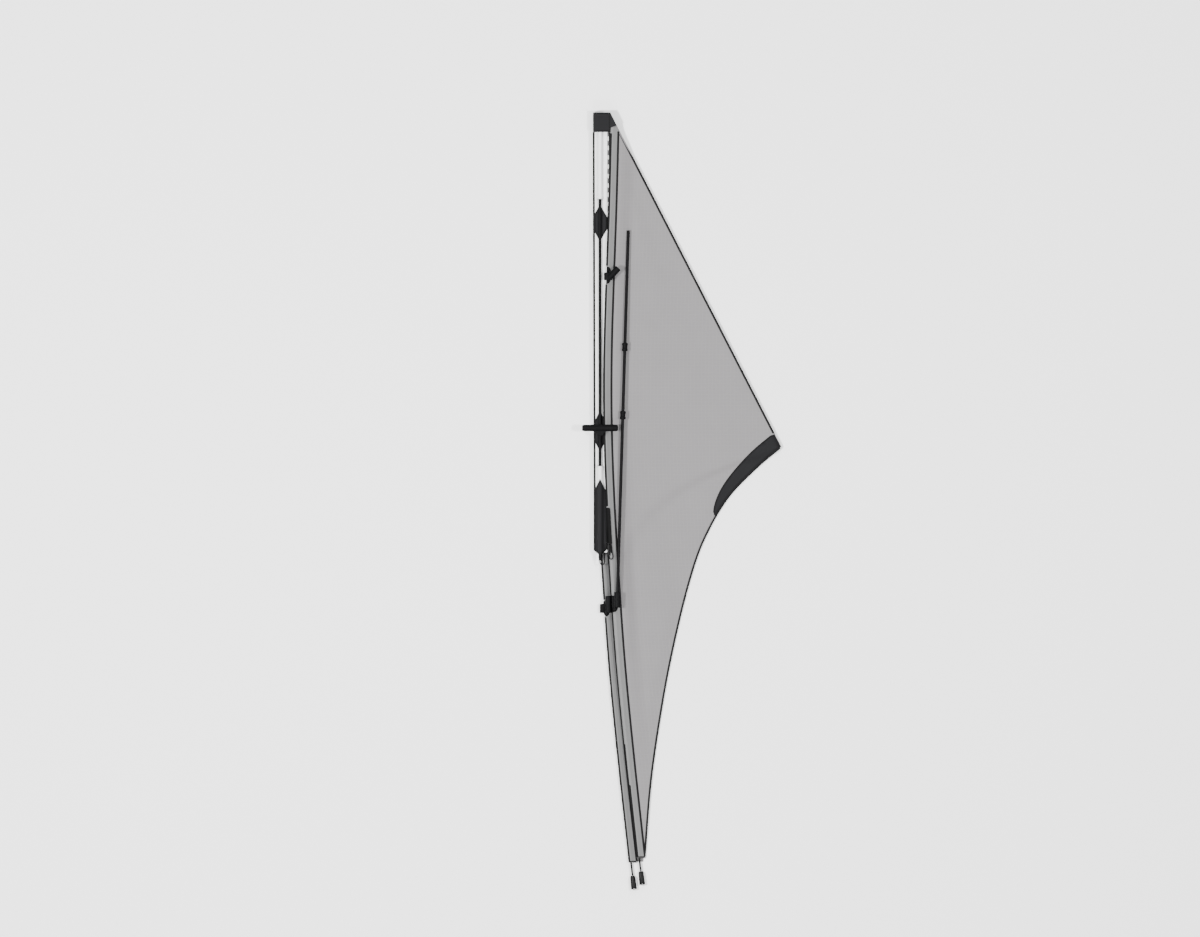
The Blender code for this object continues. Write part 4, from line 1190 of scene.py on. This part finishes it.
# Its end is cut down to a tongue, which lies between the pin and the cord.
end = middle + lean * (STRAP_END - STRAP_START)
tongue = rod_in(right_sleeve, STRAP_END)[0]
outline += [(end + STRAP_HALF, STRAP_END), (tongue + 0.9, STRAP_END), (tongue + 2.3, STRAP_END + 20)]
outline += [(tongue + 0.4, STRAP_END + 21), (tongue - 2.0, STRAP_END), (end - STRAP_HALF, STRAP_END)]
trim(strap, prism("outline", outline, 0, 60), "INTERSECT")
finish(strap, webbing, "black_webbing", "tension_strap")

pin_start, pin_end, aside, rise = STRAP_END + 0.3, 975.0, 5.2, 6.7
x, s, z = rod_in(right_sleeve, pin_start)
x_end, s_end, z_end = rod_in(right_sleeve, pin_end)
x, x_end = x - aside, x_end - aside
length = math.hypot(pin_end - pin_start, x_end - x)
profile = barrel(length, 3.0, 1.2, (1.5, 0.9), (1.5, 0.9))
pin = turned("strap_pin_moulding", (x, s, z + rise), (x_end, s_end, z_end + rise), profile, sides=32)
finish(pin, nylon, "nylon_cap", "strap_pin")
leg, turn, bottom, level = x + 7.4, 4.4, 978.2, z + 6.4
points = [(leg - 0.5, s + 0.4, level - 0.4), (leg + 0.3, s + 8, level - 0.5)]
points.append((leg + 1.5, s + 18, level - 0.4))
points += bight(x_end + 0.2 + turn, bottom, turn, level, z_end + rise)
points.append((x_end, pin_end + 0.5, z_end + rise))
elastic_cord("strap_elastic", smooth_route(points, 36), 1.1, "strap_loop")


# At each tip a thicker elastic comes out of the sleeve, tied to the rod's end, and holds a slotted nylon
# cap. When the kite is made ready the cap is pulled back over the rod.
for side, sleeve, tip, cap_start, cap_x, cap_end, cap_end_x, high in (
    ("right", right_sleeve, RIGHT_TIP, 1669.0, 89.8, 1699.0, 93.2, 6.5),
    ("left", left_sleeve, LEFT_TIP, 1679.0, 71.6, 1709.0, 75.0, 6.7),
):
    profile = [(0, 2.8), (0.3, 3.6), (1, 4.4), (2.2, 5.2), (4, 5.7), (16, 6.1), (28, 6.5), (29.4, 6.3)]
    profile += [(30, 5.4)]
    cap = turned("tip_moulding_" + side, (cap_x, cap_start, high), (cap_end_x, cap_end, high), profile)
    slot = block("slot", (cap_end_x - 1.4, cap_end_x + 1.4), (cap_end - 2.2, cap_end + 5), (-5, 30), 0.9)
    trim(cap, slot, "DIFFERENCE")
    finish(cap, nylon, "nylon_cap", "tip_cap_" + side)
    x, s, z = rod_in(sleeve, tip - 25)
    mouth = rod_in(sleeve, tip + 3)
    points = [(x, s, z), (x + 1.43, s + 13, z), (mouth[0] + 0.4, mouth[1], (z + high) / 2)]
    points.append((cap_x - 0.04, cap_start - 0.3, high))
    route = smooth_route(points, 24)
    elastic_cord("tip_elastic_" + side, route, 2.0, "tip_cord_" + side)


# The floor is a plain pale sheet. Two small lamps stand high on the left and the right, the left one the
# stronger. Two wide, weak ones past the nose and the tips and the pale room fill the shadows. None
# stands overhead, so the black pieces stay black.
bpy.ops.mesh.primitive_plane_add(size=14, location=kite(0, 800, -0.6))
floor = bpy.context.object
floor.name = "floor"
bpy.ops.object.transform_apply(location=True, rotation=True, scale=True)
pale, pale_tree, pale_shader = start_material(
    "Matt studio floor", Base_Color=linear("#F7F7F7"), Roughness=0.95
)
speck = node(pale_tree, "TexNoise", {"Scale": 30.0, "Detail": 2.0})
grain = node(pale_tree, "Bump", {"Strength": 0.02, "Height": speck})
node(pale_tree, "", {"Normal": grain}, made=pale_shader)
floor.data.materials.append(pale)

for x, s, z, size, energy in (
    (-2600, 900, 4700, 0.5, 500),
    (2700, 700, 4700, 0.5, 255),
    (60, -2500, 3100, 3.0, 110),
    (60, 4100, 3100, 3.0, 110),
):
    bpy.ops.object.light_add(type="AREA", location=kite(x, s, z))
    lamp = bpy.context.object
    lamp.data.shape, lamp.data.size, lamp.data.energy = "DISK", size, energy
    lamp.rotation_euler = (kite(60, 800, 0) - lamp.location).to_track_quat("-Z", "Y").to_euler()
room = bpy.data.worlds.new("Pale room")
room.use_nodes = True
room.node_tree.nodes["Background"].inputs["Color"].default_value = (1, 1, 1, 1)
room.node_tree.nodes["Background"].inputs["Strength"].default_value = 0.6
bpy.context.scene.world = room
